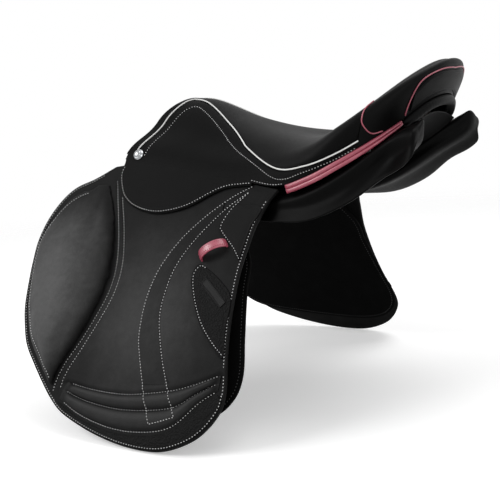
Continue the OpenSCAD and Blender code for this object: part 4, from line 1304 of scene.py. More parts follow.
@dataclass
class Cushion:
    """Swells a closed pad with Blender's cloth under pressure and keeps the result.

    With a voxel size of 0 the pad's own faces go into the cloth, else it is remeshed first.
    """

    voxel: float
    pressure: float
    frames: int
    cap: float

    def swell(self, made: Piece, held: Callable[[Array], Array]) -> None:
        """Replace a piece's mesh by its remeshed and swollen form, with one subdivision after it.

        Args:
            made: The piece, a closed mesh.
            held: Weight from 0 to 1 of each place in millimetres that the cloth holds still.
        """
        scene = bpy.context.scene
        if self.voxel:
            remesh = made.modifiers.new("remesh", "REMESH")
            remesh.mode = "VOXEL"
            remesh.voxel_size = self.voxel * MM
            self._apply(made)
        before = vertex_places(made)
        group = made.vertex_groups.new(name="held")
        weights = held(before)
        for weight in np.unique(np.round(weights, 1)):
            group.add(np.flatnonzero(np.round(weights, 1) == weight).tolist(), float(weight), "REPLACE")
        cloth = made.modifiers.new("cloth", "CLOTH")
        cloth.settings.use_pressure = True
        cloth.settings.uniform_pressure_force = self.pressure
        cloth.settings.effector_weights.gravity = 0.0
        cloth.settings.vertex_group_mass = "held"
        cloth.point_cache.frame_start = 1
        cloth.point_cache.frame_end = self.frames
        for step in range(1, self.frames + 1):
            scene.frame_set(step)
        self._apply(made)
        moved = vertex_places(made) - before
        far = np.linalg.norm(moved, axis=1, keepdims=True)
        kept = before + moved * np.minimum(1, self.cap / np.maximum(far, 1e-6))
        set_places(made, kept)
        made.vertex_groups.clear()
        scene.frame_set(1)
        calm = made.modifiers.new("smoothing", "SMOOTH")
        calm.factor = 0.5
        calm.iterations = 14
        rounding = made.modifiers.new("subdivision", "SUBSURF")
        rounding.levels = 1
        rounding.render_levels = 1
        made.data.shade_smooth()

    def _apply(self, made: Piece) -> None:
        """Make the modifiers' result the piece's own mesh."""
        graph = bpy.context.evaluated_depsgraph_get()
        old = made.data
        new = bpy.data.meshes.new_from_object(made.evaluated_get(graph))
        made.modifiers.clear()
        made.data = new
        new.name = old.name + "_set"
        bpy.data.meshes.remove(old)


@dataclass
class Panels:
    """The two stuffed panels and the leather ceiling of the gullet between them.

    Section rows hold shares of length, then half width and rise of the four corners, then the draw of
    the outer side.
    """

    shape: SeatShape
    cushion: Cushion = field(default_factory=lambda: Cushion(0.0, 4.0, 20, 4.0))
    crown: float = 0.07
    draw: float = 0.05
    slack: float = 2.0
    least_reach: float = 12.0
    lining: float = 1.6
    lining_run: Pair = (2 / 3, 9.0)
    gap: float = 0.3
    sections: Shares = (
        (-0.455, 0.4, 0.46, 0.42, 0.38, 0.67, 0.22, 0.64, 0.3, 0),
        (-0.415, 0.31, 0.53, 0.33, 0.29, 0.93, 0.06, 0.68, 0.33, 0.1),
        (-0.295, 0.3, 0.48, 0.32, 0.24, 0.982, 0, 0.7, 0.3, 0.08),
        (-0.16, 0.29, 0.41, 0.31, 0.18, 0.986, 0, 0.75, 0.24, 0.06),
        (-0.023, 0.29, 0.35, 0.31, 0.13, 0.971, 0.02, 0.8, 0.19, 0.06),
        (0.09, 0.3, 0.32, 0.33, 0.11, 1.06, 0.03, 0.93, 0.17, 0.12),
        (0.204, 0.31, 0.32, 0.36, 0.13, 1.1, 0.05, 0.98, 0.23, 0.19),
        (0.318, 0.34, 0.38, 0.4, 0.23, 1.03, 0.155, 0.92, 0.36, 0.18),
        (0.41, 0.4, 0.49, 0.46, 0.37, 0.93, 0.3, 0.82, 0.505, 0.18),
        (0.466, 0.5, 0.595, 0.54, 0.46, 0.95, 0.36, 0.84, 0.585, 0.16),
        (0.496, 0.58, 0.665, 0.6, 0.52, 0.95, 0.41, 0.88, 0.6, 0.14),
        (0.508, 0.68, 0.63, 0.69, 0.55, 0.9, 0.455, 0.87, 0.57, 0.1),
    )
    ceiling: Sequence[float] = (
        0.09, 0.09, 0.09, 0.08, 0.07, 0.06, 0.05, 0.055, 0.07, 0.06, 0.015, 0.01,
    )

    def build(self) -> None:
        """Make the panels and the lining."""
        self.make_panels()
        self.make_lining()

    def rings(self, s: Array, sides: int) -> Array:
        """Closed sections: a smooth ring through four corners and the swells between them."""
        rows = smooth(self.sections, s)
        corners = rows[:, 1:9].reshape(-1, 4, 2) * np.array([self.shape.half, self.shape.rise])
        after = np.roll(corners, -1, axis=1)
        turn = np.stack([after[..., 1] - corners[..., 1], corners[..., 0] - after[..., 0]], -1)
        share = np.stack([np.full(len(s), self.draw), np.full(len(s), -self.crown), -rows[:, 9],
                          np.full(len(s), self.draw)], -1)
        swells = (corners + after) / 2 + share[..., None] * turn
        ring = np.stack([corners, swells], axis=2).reshape(len(s), 8, 2)
        ring = np.moveaxis(ring, 1, 0)
        curve = smooth_ring(ring.reshape(8, -1), sides).reshape(sides, len(s), 2)
        h, z = curve[..., 0].T, curve[..., 1].T
        x = np.broadcast_to(rows[:, :1] * self.shape.length, h.shape)
        return np.stack([x, -h, z], -1)

    def make_panels(self) -> None:
        """Panel: a tube through the sections, drawn in a little, then swollen by the cloth."""
        s = np.linspace(0, len(self.sections) - 1, 90)
        rings = self.rings(s, 64)
        middle = rings.mean(axis=1, keepdims=True)
        reach = np.linalg.norm(rings - middle, axis=-1, keepdims=True)
        rings = middle + (rings - middle) * (1 - self.slack / np.maximum(reach, self.least_reach))
        made = tube("panel_left", rings)
        self.cushion.swell(made, lambda places: np.zeros(len(places)))
        both_sides(made, "panel", PANEL_LEATHER, "saddle", stands=True)

    def make_lining(self) -> None:
        """Lining: a low arch from one panel's inner top edge to the other's."""
        s = np.linspace(*self.lining_run, 90)
        rows = smooth(self.sections, s)
        f = np.linspace(-1, 1, 41)
        x = np.broadcast_to(rows[:, :1] * self.shape.length, (len(s), len(f)))
        y = rows[:, 1:2] * self.shape.half * f
        arch = smooth(np.asarray(self.ceiling)[:, None], s) * self.shape.rise * (1 - f * f)
        z = rows[:, 2:3] * self.shape.rise + self.gap + arch
        top = np.stack([x, y, z + self.lining], -1)
        made = sheet("gullet_lining_made", top, np.stack([x, y, z], -1))
        dress(made, PANEL_LEATHER, "saddle", ["gullet_lining"])


def pad_rings(outline: Array, centre: Array, insets: Sequence[float], shares: Sequence[float]) -> Array:
    """Rings from an outline in to its centre.

    Each place moves on its ray to the centre, so rings never cross: by inset / c, where c is the cosine
    between the ray and the outline's own normal, kept above 0.4. The rings after those are the last one
    scaled towards the centre by shares.

    Args:
        outline: Closed outline in u and v.
        centre: Place that sees the whole outline.
        insets: Distances in from the outline.
        shares: Scales of the rings after them.

    Returns:
        Rings by places by two.
    """
    along = unit(np.roll(outline, -1, axis=0) - np.roll(outline, 1, axis=0))
    inward = np.stack([-along[:, 1], along[:, 0]], -1)
    ray = unit(centre - outline)
    turned = np.sign((inward * ray).sum())
    lean = np.maximum(turned * (inward * ray).sum(-1, keepdims=True), 0.4)
    drawn = outline[None] + ray[None] / lean[None] * np.asarray(insets)[:, None, None]
    scaled = centre + (drawn[-1][None] - centre) * np.asarray(shares)[:, None, None]
    return np.concatenate([drawn, scaled])


def round_edge(inset: Array, radius: float) -> Array:
    """Drop of a rounded edge: a quarter circle of this radius, flat further in."""
    gap = np.clip(radius - inset, 0, radius)
    return radius - np.sqrt(radius**2 - gap**2)


@dataclass
class FlatPad:
    """A piece cut to an outline in the flap's frame, with rounded edges and a top of any height."""

    plane: FlapPlane
    low: float
    rings: int
    radius: float
    tip: float = 0.004

    def make(
        self, name: str, outline: Array, centre: Sequence[float], top: Callable[[Array, Array], Array]
    ) -> Piece:
        """Build the closed pad.

        Args:
            name: Name of the piece.
            outline: Closed outline in u and v.
            centre: Place that sees the whole outline.
            top: Height of the upper face from places and their distance to the outline.

        Returns:
            The new object.
        """
        centre = np.asarray(centre, float)
        r = self.radius
        quarter = 1 - np.cos(np.linspace(0, 0.5, 5) * math.pi)
        insets = r * np.concatenate([quarter, [2.0, 3.5, 6.0]])
        spots = pad_rings(outline, centre, insets, np.linspace(1, self.tip, self.rings)[1:])
        away = np.concatenate([np.repeat(insets[:, None], len(outline), 1),
                               distance(spots[len(insets):], np.vstack([outline, outline[:1]]))])
        upper = self.plane.place(spots, top(spots, away) - round_edge(away, r))
        base = pad_rings(outline, centre, [0.0, 0.5 * r, 2 * r, 6 * r], [0.5, self.tip])
        sink = round_edge(np.array([0.0, 0.5, 2.0, 6.0, 6.0, 6.0]) * r, 0.5 * r)
        lower = self.plane.place(base, self.low + np.broadcast_to(sink[:, None], base.shape[:2]))
        rings = np.concatenate([lower[::-1], upper])
        return tube(name, rings)


@dataclass(frozen=True)
class Highlight:
    """A painted highlight: a soft paler oval in the flap's frame, most where it is palest."""

    middle: Pair
    reach: Pair
    most: float

    def at(self, spots: Array) -> Array:
        """Paleness of spots in u and v."""
        gap = (((spots - np.asarray(self.middle)) / np.asarray(self.reach)) ** 2).sum(-1)
        return self.most * np.exp(-gap)


@dataclass
class Flaps:
    """The two flaps: knee pads, ribs, hem, band, patches, label plate, keeper and stitching."""

    plane: FlapPlane
    cushion: Cushion = field(default_factory=lambda: Cushion(4.0, 4.0, 20, 5.0))
    bedding: float = 0.4
    flap_centre: Pair = (-133.0, 205.0)
    flap_back: Pair = (42.0, 45.2)
    flap_turn: float = -20.0
    # painted highlight: the flap paler in its middle
    flap_highlight: Highlight = Highlight((-118.0, 225.0), (95.0, 110.0), 0.75)
    knee_strip: Ridge = Ridge(0.9, 6.0, 5.0)
    knee_groove: Ridge = Ridge(-0.9, 0.0, 1.6)
    rib_lip: Ridge = Ridge(1.6, 6.0, 4.0)
    rib_groove: Ridge = Ridge(-0.8, 0.0, 2.0)
    rim_groove: Ridge = Ridge(-0.5, 4.5, 1.8)
    rim_row: float = 3.4
    face_inset: float = 9.0
    knee_centre: Pair = (-258.0, 172.0)
    knee_edge: float = 1.2
    knee_crown: float = 15.0
    knee_walls: tuple[float, float, float] = (24.0, 12.0, 60.0)
    knee_rear: Pair = (-262.0, -222.0)
    knee_top: Pair = (140.0, 45.0)
    knee_power: float = 2.4
    knee_fade: float = 0.35
    knee_ridge: Ridge = Ridge(1.8, 20.0, 8.0)
    knee_dish: float = 3.2
    knee_dish_run: Pair = (22.0, 48.0)
    knee_relief_run: float = 18.0
    knee_held: Pair = (1.0, 6.0)
    # painted highlight on the knee pad: a paler oval at its front, and paleness rising with height
    knee_highlight: Highlight = Highlight((-283.0, 205.0), (42.0, 100.0), 0.50)
    knee_painted_highlight: float = 0.30
    knee_painted_highlight_run: Pair = (4.0, 17.0)
    knee_row: float = 12.0
    knee_row_run: tuple[int, int] = (14, 178)
    rib_crown: float = 4.0
    rib_edge: float = 0.8
    rib_fade: float = 0.08
    # painted highlight on the ribs: paler where the channels are highest
    rib_painted_highlight: float = 0.5
    rib_painted_highlight_run: Pair = (6.5, 9.5)
    band: float = 0.8
    # painted highlight: the band paler in its middle
    band_highlight: Highlight = Highlight((-110.0, 230.0), (80.0, 120.0), 0.45)
    patch_groove: Ridge = Ridge(-0.5, 2.6, 1.0)
    lower_patch_centre: Pair = (-20.0, 205.0)
    hem_inset: float = 0.012
    hem_centre: Pair = (-0.26, 0.70)
    hem_edge: tuple[int, int] = (14, 25)
    patch: float = 1.6
    hem: float = 1.2
    label_size: tuple[float, float, float] = (48.0, 11.0, 1.2)
    label_centre: Pair = (-0.048, 0.477)
    label_turn: float = 40.0
    keeper_size: tuple[float, float, float, float] = (42.0, 12.0, 15.0, 3.0)
    keeper_centre: Pair = (-0.0855, 0.334)
    keeper_turn: float = 32.0
    edge: Shares = (
        (-0.6, 0.028), (-0.684, 0.074), (-0.768, 0.11), (-0.824, 0.162), (-0.868, 0.238), (-0.889, 0.321),
        (-0.889, 0.397), (-0.882, 0.477), (-0.868, 0.569), (-0.845, 0.636), (-0.808, 0.71), (-0.747, 0.777),
        (-0.679, 0.843), (-0.624, 0.89), (-0.563, 0.928), (-0.458, 0.964), (-0.361, 0.987), (-0.271, 1),
        (-0.187, 1.003), (-0.124, 0.997), (-0.063, 0.977), (-0.003, 0.943), (0.039, 0.9), (0.066, 0.854),
        (0.074, 0.82), (0.071, 0.769), (0.05, 0.669), (0.037, 0.572), (0.032, 0.485), (0.032, 0.403),
        (0.042, 0.321), (0.055, 0.244), (0.087, 0.16), (0.113, 0.12),
    )
    notch: Shares = (
        (-64, 30), (-69.5, 44), (-78.3, 53), (-182.8, 53), (-191.6, 44), (-206, 8),
    )
    knee: Shares = (
        (-0.605, 0.092), (-0.685, 0.105), (-0.755, 0.132), (-0.808, 0.18), (-0.85, 0.255), (-0.871, 0.33),
        (-0.871, 0.4), (-0.864, 0.48), (-0.85, 0.565), (-0.826, 0.63), (-0.788, 0.7), (-0.73, 0.765),
        (-0.668, 0.826), (-0.634, 0.85), (-0.626, 0.815), (-0.604, 0.75), (-0.562, 0.672), (-0.522, 0.577),
        (-0.498, 0.495), (-0.494, 0.413), (-0.51, 0.315), (-0.545, 0.2),
    )
    seams: Sequence[Shares] = (
        ((-0.566, 0.823), (-0.455, 0.836), (-0.321, 0.838), (-0.211, 0.823), (-0.105, 0.8), (-0.021, 0.769),
         (0.048, 0.738)),
        ((-0.58, 0.849), (-0.479, 0.874), (-0.342, 0.887), (-0.216, 0.879), (-0.105, 0.856), (-0.032, 0.808),
         (0.048, 0.762)),
        ((-0.586, 0.882), (-0.471, 0.926), (-0.329, 0.951), (-0.197, 0.946), (-0.095, 0.915), (-0.013, 0.833),
         (0.048, 0.787)),
    )
    band_fore: Shares = (
        (-0.085, 0.165), (-0.155, 0.223), (-0.234, 0.308), (-0.292, 0.41), (-0.316, 0.52), (-0.311, 0.633),
        (-0.289, 0.7), (-0.247, 0.797),
    )
    band_aft: Shares = (
        (-0.085, 0.2), (-0.168, 0.297), (-0.221, 0.387), (-0.242, 0.474), (-0.242, 0.572), (-0.205, 0.679),
        (-0.168, 0.756), (-0.132, 0.788),
    )
    upper_patch: Shares = (
        (-0.045, 0.178), (-0.084, 0.246), (-0.071, 0.274), (-0.013, 0.323), (0.018, 0.362), (0.028, 0.33),
        (0.041, 0.25), (0.064, 0.18),
    )
    lower_patch: Shares = (
        (-0.134, 0.385), (-0.15, 0.426), (-0.126, 0.495), (-0.079, 0.579), (-0.018, 0.644), (0.04, 0.685),
        (0.028, 0.59), (0.022, 0.49), (-0.034, 0.433), (-0.103, 0.392),
    )
    knee_row_aft: Shares = (
        (-203, 57), (-185, 108), (-174, 155), (-176, 195), (-189, 233), (-207, 274), (-222, 306), (-227, 330)
    )
    knee_row_fore: Shares = (
        (-220, 32), (-204, 78), (-190, 123), (-183, 161), (-185, 193), (-195, 225), (-211, 263), (-227, 292),
        (-236, 318), (-238, 336),
    )
    band_rows: Sequence[Shares] = (
        ((6, 42), (-24, 59), (-59, 87), (-89, 120), (-111, 160), (-120, 203), (-118, 247), (-110, 273),
         (-94, 311), (-78, 342), (-69, 359)),
        ((2, 50), (-30, 76), (-64, 116), (-84, 151), (-92, 185), (-92, 223), (-78, 265), (-64, 295),
         (-45, 329), (-34, 346)),
        ((-69, 359), (-52, 353), (-34, 346)),
    )
    patch_rows: Sequence[Shares] = (
        ((2, 51), (-19, 74), (-29, 96), (-24, 106), (-4, 125), (9, 141)),
        ((-37, 154), (-47, 152), (-54, 165), (-46, 192), (-28, 224), (-6, 248), (14, 264)),
    )
    body: str = "flap"

    def build(self) -> None:
        """Make every piece of the flaps."""
        self.rib_paths = [smooth_path(self.plane.spots(seam), 90) for seam in self.seams]
        self.knee_paths = [smooth_path(row, 80) for row in (self.knee_row_fore, self.knee_row_aft)]
        self.make_flap()
        self.make_knee()
        self.make_ribs()
        self.make_hem()
        self.make_band()
        self.make_patches()
        self.make_label()
        self.make_keeper()
        self.make_stitching()

    def outline(self) -> Array:
        """Outline of a flap: its smooth edge, then straight along the top and round the notch."""
        edge = self.plane.even(self.edge, 700, 430)
        turn = self.flap_turn
        back = np.array([self.flap_back, [turn, self.plane.fold(turn) + self.plane.fold_gap]])
        top = resample(np.vstack([edge[-1:], back, np.asarray(self.notch), edge[:1]]), 130)
        return np.vstack([edge, top[1:-1]])

    def height(self, spots: Array, away: Array) -> Array:
        """Upper face: a flat slope with sewn grooves, a puffed strip and a lip above the ribs.

        n is the thickness, plus a strip raised between the two knee rows, less a groove at each row, plus
        a low lip above the first rib seam, less a groove at that seam and one inside the outline.
        """
        fore, aft = (distance(spots, path) for path in self.knee_paths)
        knee = self.knee_strip.at(fore + aft) + self.knee_groove.at(fore) + self.knee_groove.at(aft)
        seam = self.rib_paths[0]
        rib = distance(spots, seam)
        above = spots[..., 1] < np.interp(spots[..., 0], seam[:, 0], seam[:, 1])
        ribs = above * self.rib_lip.at(rib) + self.rib_groove.at(rib)
        return self.plane.flap_outer + knee + ribs + self.rim_groove.at(away)

    def bed(self) -> float:
        """Height of the underside of whatever is sewn on the flap, a little inside its face."""
        return self.plane.flap_outer - self.bedding

    def make_flap(self) -> None:
        """Flap: a pad whose top carries the sewn relief, paler in its middle as painted highlight."""
        pad = FlatPad(self.plane, 0.0, rings=88, radius=1.4)
        made = pad.make("flap_left", self.outline(), self.flap_centre, self.height)
        # painted highlight: the flap paler in its middle
        self.wear_and_painted_highlight(made, self.flap_highlight)
        both_sides(made, "flap", FLAP_LEATHER, self.body, stands=True)

    def wear_and_painted_highlight(self, made: Piece, highlight: Highlight) -> None:
        """Painted highlight oval on a left piece, kept as a vertex attribute."""
        set_attribute(made, "worn", highlight.at(self.plane.flat(vertex_places(made))[:, :2]))

    def knee_height(self, spots: Array, away: Array) -> Array:
        """Knee pad: a steep back wall, a rounder front, a long fade at the top and a shallow dish.

        With d the distance in from the outline, n = edge + crown * (1 - (1 - d / w)^2.4) up to width w,
        which is small behind and large above, plus a ridge inside it, less a dish in the middle.
        """
        rear = ramp(spots[..., 0], *self.knee_rear)
        top = ramp(spots[..., 1], *self.knee_top)
        front_wall, rear_wall, top_wall = self.knee_walls
        wide = (front_wall + (rear_wall - front_wall) * rear) * (1 - top) + top_wall * top
        rise = 1 - (1 - np.clip(away / wide, 0, 1)) ** self.knee_power
        dish = self.knee_dish * ramp(away, *self.knee_dish_run)
        relief = (self.knee_ridge.at(away) - dish) * ramp(away, 0, self.knee_relief_run)
        full = self.knee_crown * (1 - self.knee_fade * top) * rise
        return self.plane.flap_outer + self.knee_edge + full + relief

    def make_knee(self) -> None:
        """Knee pad: a pad with the height above, swollen by the cloth while its edge is held."""
        outline = smooth_ring(self.plane.spots(self.knee), 300)
        pad = FlatPad(self.plane, self.bed(), rings=56, radius=1.0)
        made = pad.make("knee_pad_left", outline, self.knee_centre, self.knee_height)
        low = self.plane.flap_outer

        def held(places: Array) -> Array:
            """Hold the pad's edge and let it go higher up."""
            return 1 - ramp(self.plane.flat(places)[:, 2] - low, *self.knee_held)

        self.cushion.swell(made, held)
        spots = self.plane.flat(vertex_places(made))
        # painted highlight: the pad paler with height, so its plateau reads lit and its walls stay dark as
        # painted shade; plus a paler oval at its front
        pale = self.knee_painted_highlight * ramp(spots[:, 2] - low, *self.knee_painted_highlight_run)
        set_attribute(made, "worn", pale + self.knee_highlight.at(spots[:, :2]))
        row = self.inside(outline, self.knee_centre, self.knee_row)[slice(*self.knee_row_run)]
        self.knee_edge_row = self.on_piece(made, row)
        both_sides(made, "knee_pad", PAD_LEATHER, self.body, stands=True)

    def on_piece(self, made: Piece, spots: Array) -> Array:
        """Places where rays from outside, against the flap's normal, meet a finished piece's face."""
        tree = BVHTree.FromObject(made, bpy.context.evaluated_depsgraph_get())
        out = self.plane.out()
        starts = self.plane.place(spots, 60.0) * MM
        return np.array([tree.ray_cast(Vector(start), Vector(-out))[0] for start in starts]) / MM + 0.2 * out

    def rib_bow(self, share: Array) -> Array:
        """Rise of a channel from its upper seam at 0 to its lower seam at 1, fuller on the upper side."""
        return self.rib_crown * np.sin(math.pi * np.clip(share, 0, 1) ** 0.8) ** 0.75

    def face(self, path: Array) -> Array:
        """Height of whatever lies uppermost under a row: the flap, the sewn band or a rib."""
        u, v = path[:, 0], path[:, 1]
        first, second, third = (np.interp(u, seam[:, 0], seam[:, 1]) for seam in self.rib_paths)
        channels = [(v - first) / (second - first), (v - second) / (third - second)]
        rib = sum(self.rib_bow(share) for share in channels)
        flat = self.bare(path) + self.band
        return np.where(v > first, self.plane.flap_outer + self.rib_edge + rib, flat)

    def bare(self, path: Array) -> Array:
        """Height of the flap's own face under a row."""
        return self.height(path[None], np.full((1, len(path)), self.face_inset))[0]

    def make_ribs(self) -> None:
        """Ribs: two channels between three seams, each with a full upper side and a drawn lower seam."""
        t = np.linspace(0, 1, 26)
        first, second, third = self.rib_paths
        across = [first[:, None] + (second - first)[:, None] * t[:, None],
                  second[:, None] + (third - second)[:, None] * t[1:, None]]
        spots = np.concatenate(across, axis=1)
        share = np.concatenate([t, t[1:]])
        run = np.linspace(0, 1, len(first))
        fade = ramp(np.minimum(run, 1 - run), 0, self.rib_fade)[:, None]
        height = self.plane.flap_outer + self.rib_edge + self.rib_bow(share) * fade
        low = np.full(height.shape, self.bed())
        made = sheet("rib_pad_left", self.plane.place(spots, height), self.plane.place(spots, low))
        # painted highlight: each channel paler near its crown
        pale = self.rib_painted_highlight * ramp(height, *self.rib_painted_highlight_run)
        set_attribute(made, "worn", np.concatenate([pale.ravel(), np.zeros(low.size)]))
        both_sides(made, "rib_pad", RIB_LEATHER, self.body, stands=True)

    def ruled(self, name: str, first: Array, second: Array, thickness: float, crown: float) -> Piece:
        """Thin strip between two edges with a rounded top: n rises by crown between the edges."""
        t = np.concatenate([[0, 0.01, 0.03], np.linspace(0.08, 0.92, 20), [0.97, 0.99, 1.0]])
        spots = first[:, None] + (second - first)[:, None] * t[:, None]
        edge = ramp(np.minimum(t, 1 - t), 0, 0.04)
        height = self.plane.flap_outer + thickness * (0.35 + 0.65 * edge) + crown * np.sin(math.pi * t)
        high = np.broadcast_to(height, spots.shape[:2])
        low = np.full(high.shape, self.bed())
        return sheet(name, self.plane.place(spots, high), self.plane.place(spots, low))

    def make_hem(self) -> None:
        """Grained hem: a strip from under the last rib seam down to the flap's edge."""
        edge = np.asarray(self.edge)[slice(*self.hem_edge)][::-1]
        low = edge + (np.array(self.hem_centre) - edge) * self.hem_inset
        top = np.asarray(self.seams[2]) + np.array([0.0, self.hem_inset])
        first = self.plane.even(top, 200, 120)
        second = self.plane.even(low, 200, 120)[::-1]
        made = self.ruled("hem_band_left", first, second, self.hem, 0.4)
        both_sides(made, "hem_band", GRAIN_LEATHER, self.body, stands=True)

    def make_band(self) -> None:
        """Sewn band: a thin strip between its two rows of stitches."""
        first = self.plane.even(self.band_fore, 200, 120)
        second = self.plane.even(self.band_aft, 200, 120)
        made = self.ruled("flap_band_left", first, second, self.band, 0.3)
        # painted highlight: the band paler in its middle
        self.wear_and_painted_highlight(made, self.band_highlight)
        both_sides(made, "flap_band", FLAP_LEATHER, self.body, stands=True)

    def make_patches(self) -> None:
        """Upper and lower patch: pads of even thickness."""
        pad = FlatPad(self.plane, self.bed(), rings=16, radius=0.8)
        high = self.plane.flap_outer + self.patch

        def level(spots: Array, away: Array) -> Array:
            """Even height, a little fuller inside the sewn edge."""
            return high + self.patch_groove.at(away) + 0.3 * ramp(away, 3.0, 11.0)

        upper = smooth_ring(self.plane.spots(self.upper_patch), 120)
        made = pad.make("upper_patch_left", upper, upper.mean(0), level)
        both_sides(made, "upper_patch", FLAP_LEATHER, self.body, stands=True)
        lower = smooth_ring(self.plane.spots(self.lower_patch), 160)
        made = pad.make("lower_patch_left", lower, self.lower_patch_centre, level)
        both_sides(made, "lower_patch", GRAIN_LEATHER, self.body, stands=True)

    def make_label(self) -> None:
        """Label plate, left bare: a thin plate with a raised rim and rounded corners."""
        long, wide, thick = self.label_size
        flat = circle(1.0, 120)
        round_box = np.sign(flat) * np.abs(flat) ** 0.22 * np.array([long, wide]) / 2
        turn = math.radians(self.label_turn)
        spin = np.array([[math.cos(turn), math.sin(turn)], [-math.sin(turn), math.cos(turn)]])
        centre = self.plane.spots(self.label_centre)
        low = self.plane.flap_outer + self.patch

        def level(spots: Array, away: Array) -> Array:
            """Rim round a face that lies a little lower."""
            return low + thick - 0.5 * ramp(away, 1.2, 2.0)

        pad = FlatPad(self.plane, low - 0.3, rings=10, radius=0.5)
        made = pad.make("label_plate_left", centre + round_box @ spin, centre, level)
        both_sides(made, "label_plate", LABEL_LEATHER, self.body, stands=True)

    def keeper_frame(self, count: int) -> tuple[Array, Array, Array]:
        """Half-ellipse of the keeper's middle line, its outward directions and its width direction."""
        span, _, rise, thick = self.keeper_size
        a = np.linspace(0, math.pi, count)
        turn = math.radians(self.keeper_turn)
        along = np.array([math.cos(turn), -math.sin(turn)])
        wide = np.array([math.sin(turn), math.cos(turn)])
        centre = self.plane.spots(self.keeper_centre)
        half, high = span / 2 - thick / 2, rise - thick / 2
        spots = centre + along * (half * np.cos(a))[:, None]
        path = self.plane.place(spots, self.plane.flap_outer + high * np.sin(a))
        tilt = unit(np.stack([high * np.cos(a), half * np.sin(a)], -1))
        flat = self.plane.place(along, 0.0) - self.plane.place(np.zeros(2), 0.0)
        out = flat * tilt[:, :1] + self.plane.out() * tilt[:, 1:]
        side = self.plane.place(wide, 0.0) - self.plane.place(np.zeros(2), 0.0)
        return path, out, side

    def make_keeper(self) -> None:
        """Keeper: a rounded strap profile carried over its arch."""
        path, out, side = self.keeper_frame(60)
        _, wide, _, thick = self.keeper_size
        rounded = circle(1.0, 28)
        shape = np.sign(rounded) * np.abs(rounded) ** 0.55 * np.array([thick, wide]) / 2
        rings = path[:, None] + out[:, None] * shape[None, :, :1] + side * shape[None, :, 1:]
        made = tube("keeper_left", rings)
        both_sides(made, "keeper", PINK_LEATHER, self.body, stands=True)
        top, away = path[6:-6] + out[6:-6] * thick / 2, out[6:-6]
        runs = [(top + side * wide * share, away) for share in (-0.28, 0.28)]
        FINE_STITCHES.sew("keeper_stitching", runs, PINK_THREAD, self.body)

    def row(self, spots: Shares, lift: Union[float, Callable[[Array], Array]], count: int = 160) -> Run:
        """A stitched row on the flap: its places and its outward directions."""
        path = smooth_path(spots, count)
        n = lift(path) if callable(lift) else np.full(len(path), lift)
        places = self.plane.place(path, n)
        return places, self.plane.outs(places)

    def inside(self, outline: Array, centre: Sequence[float], inset: float) -> Array:
        """Outline drawn in by an inset."""
        return pad_rings(outline, np.asarray(centre, float), [inset], [1.0])[0]

    def make_stitching(self) -> None:
        """Rows round the flap's edge, beside the knee pad, along the ribs, band and patches."""
        top = self.plane.flap_outer

        def rim_face(path: Array) -> Array:
            """Height under the row round the edge: the hem where it lies on the flap, else the flap."""
            seam = self.rib_paths[2]
            on_hem = path[:, 1] > np.interp(path[:, 0], seam[:, 0], seam[:, 1]) + 4.0
            return np.where(on_hem, top + self.hem + 0.1, top - 0.1)

        edge = smooth_path(self.plane.spots(self.edge), 700)
        rim = self.inside(edge, self.flap_centre, self.rim_row)
        runs = [self.row(rim[12:-14], rim_face, 900)]
        runs += [(self.knee_edge_row, self.plane.outs(self.knee_edge_row))]
        runs += [self.row(path, self.bare) for path in self.knee_paths]
        runs += [self.row(path[3:-2], top + self.rib_edge) for path in self.rib_paths]
        runs += [self.row(path, self.face, 400) for path in self.band_rows]
        runs += [self.row(path, top + self.patch - 0.2) for path in self.patch_rows]
        STITCHES.sew("flap_stitching", runs, THREAD, self.body)


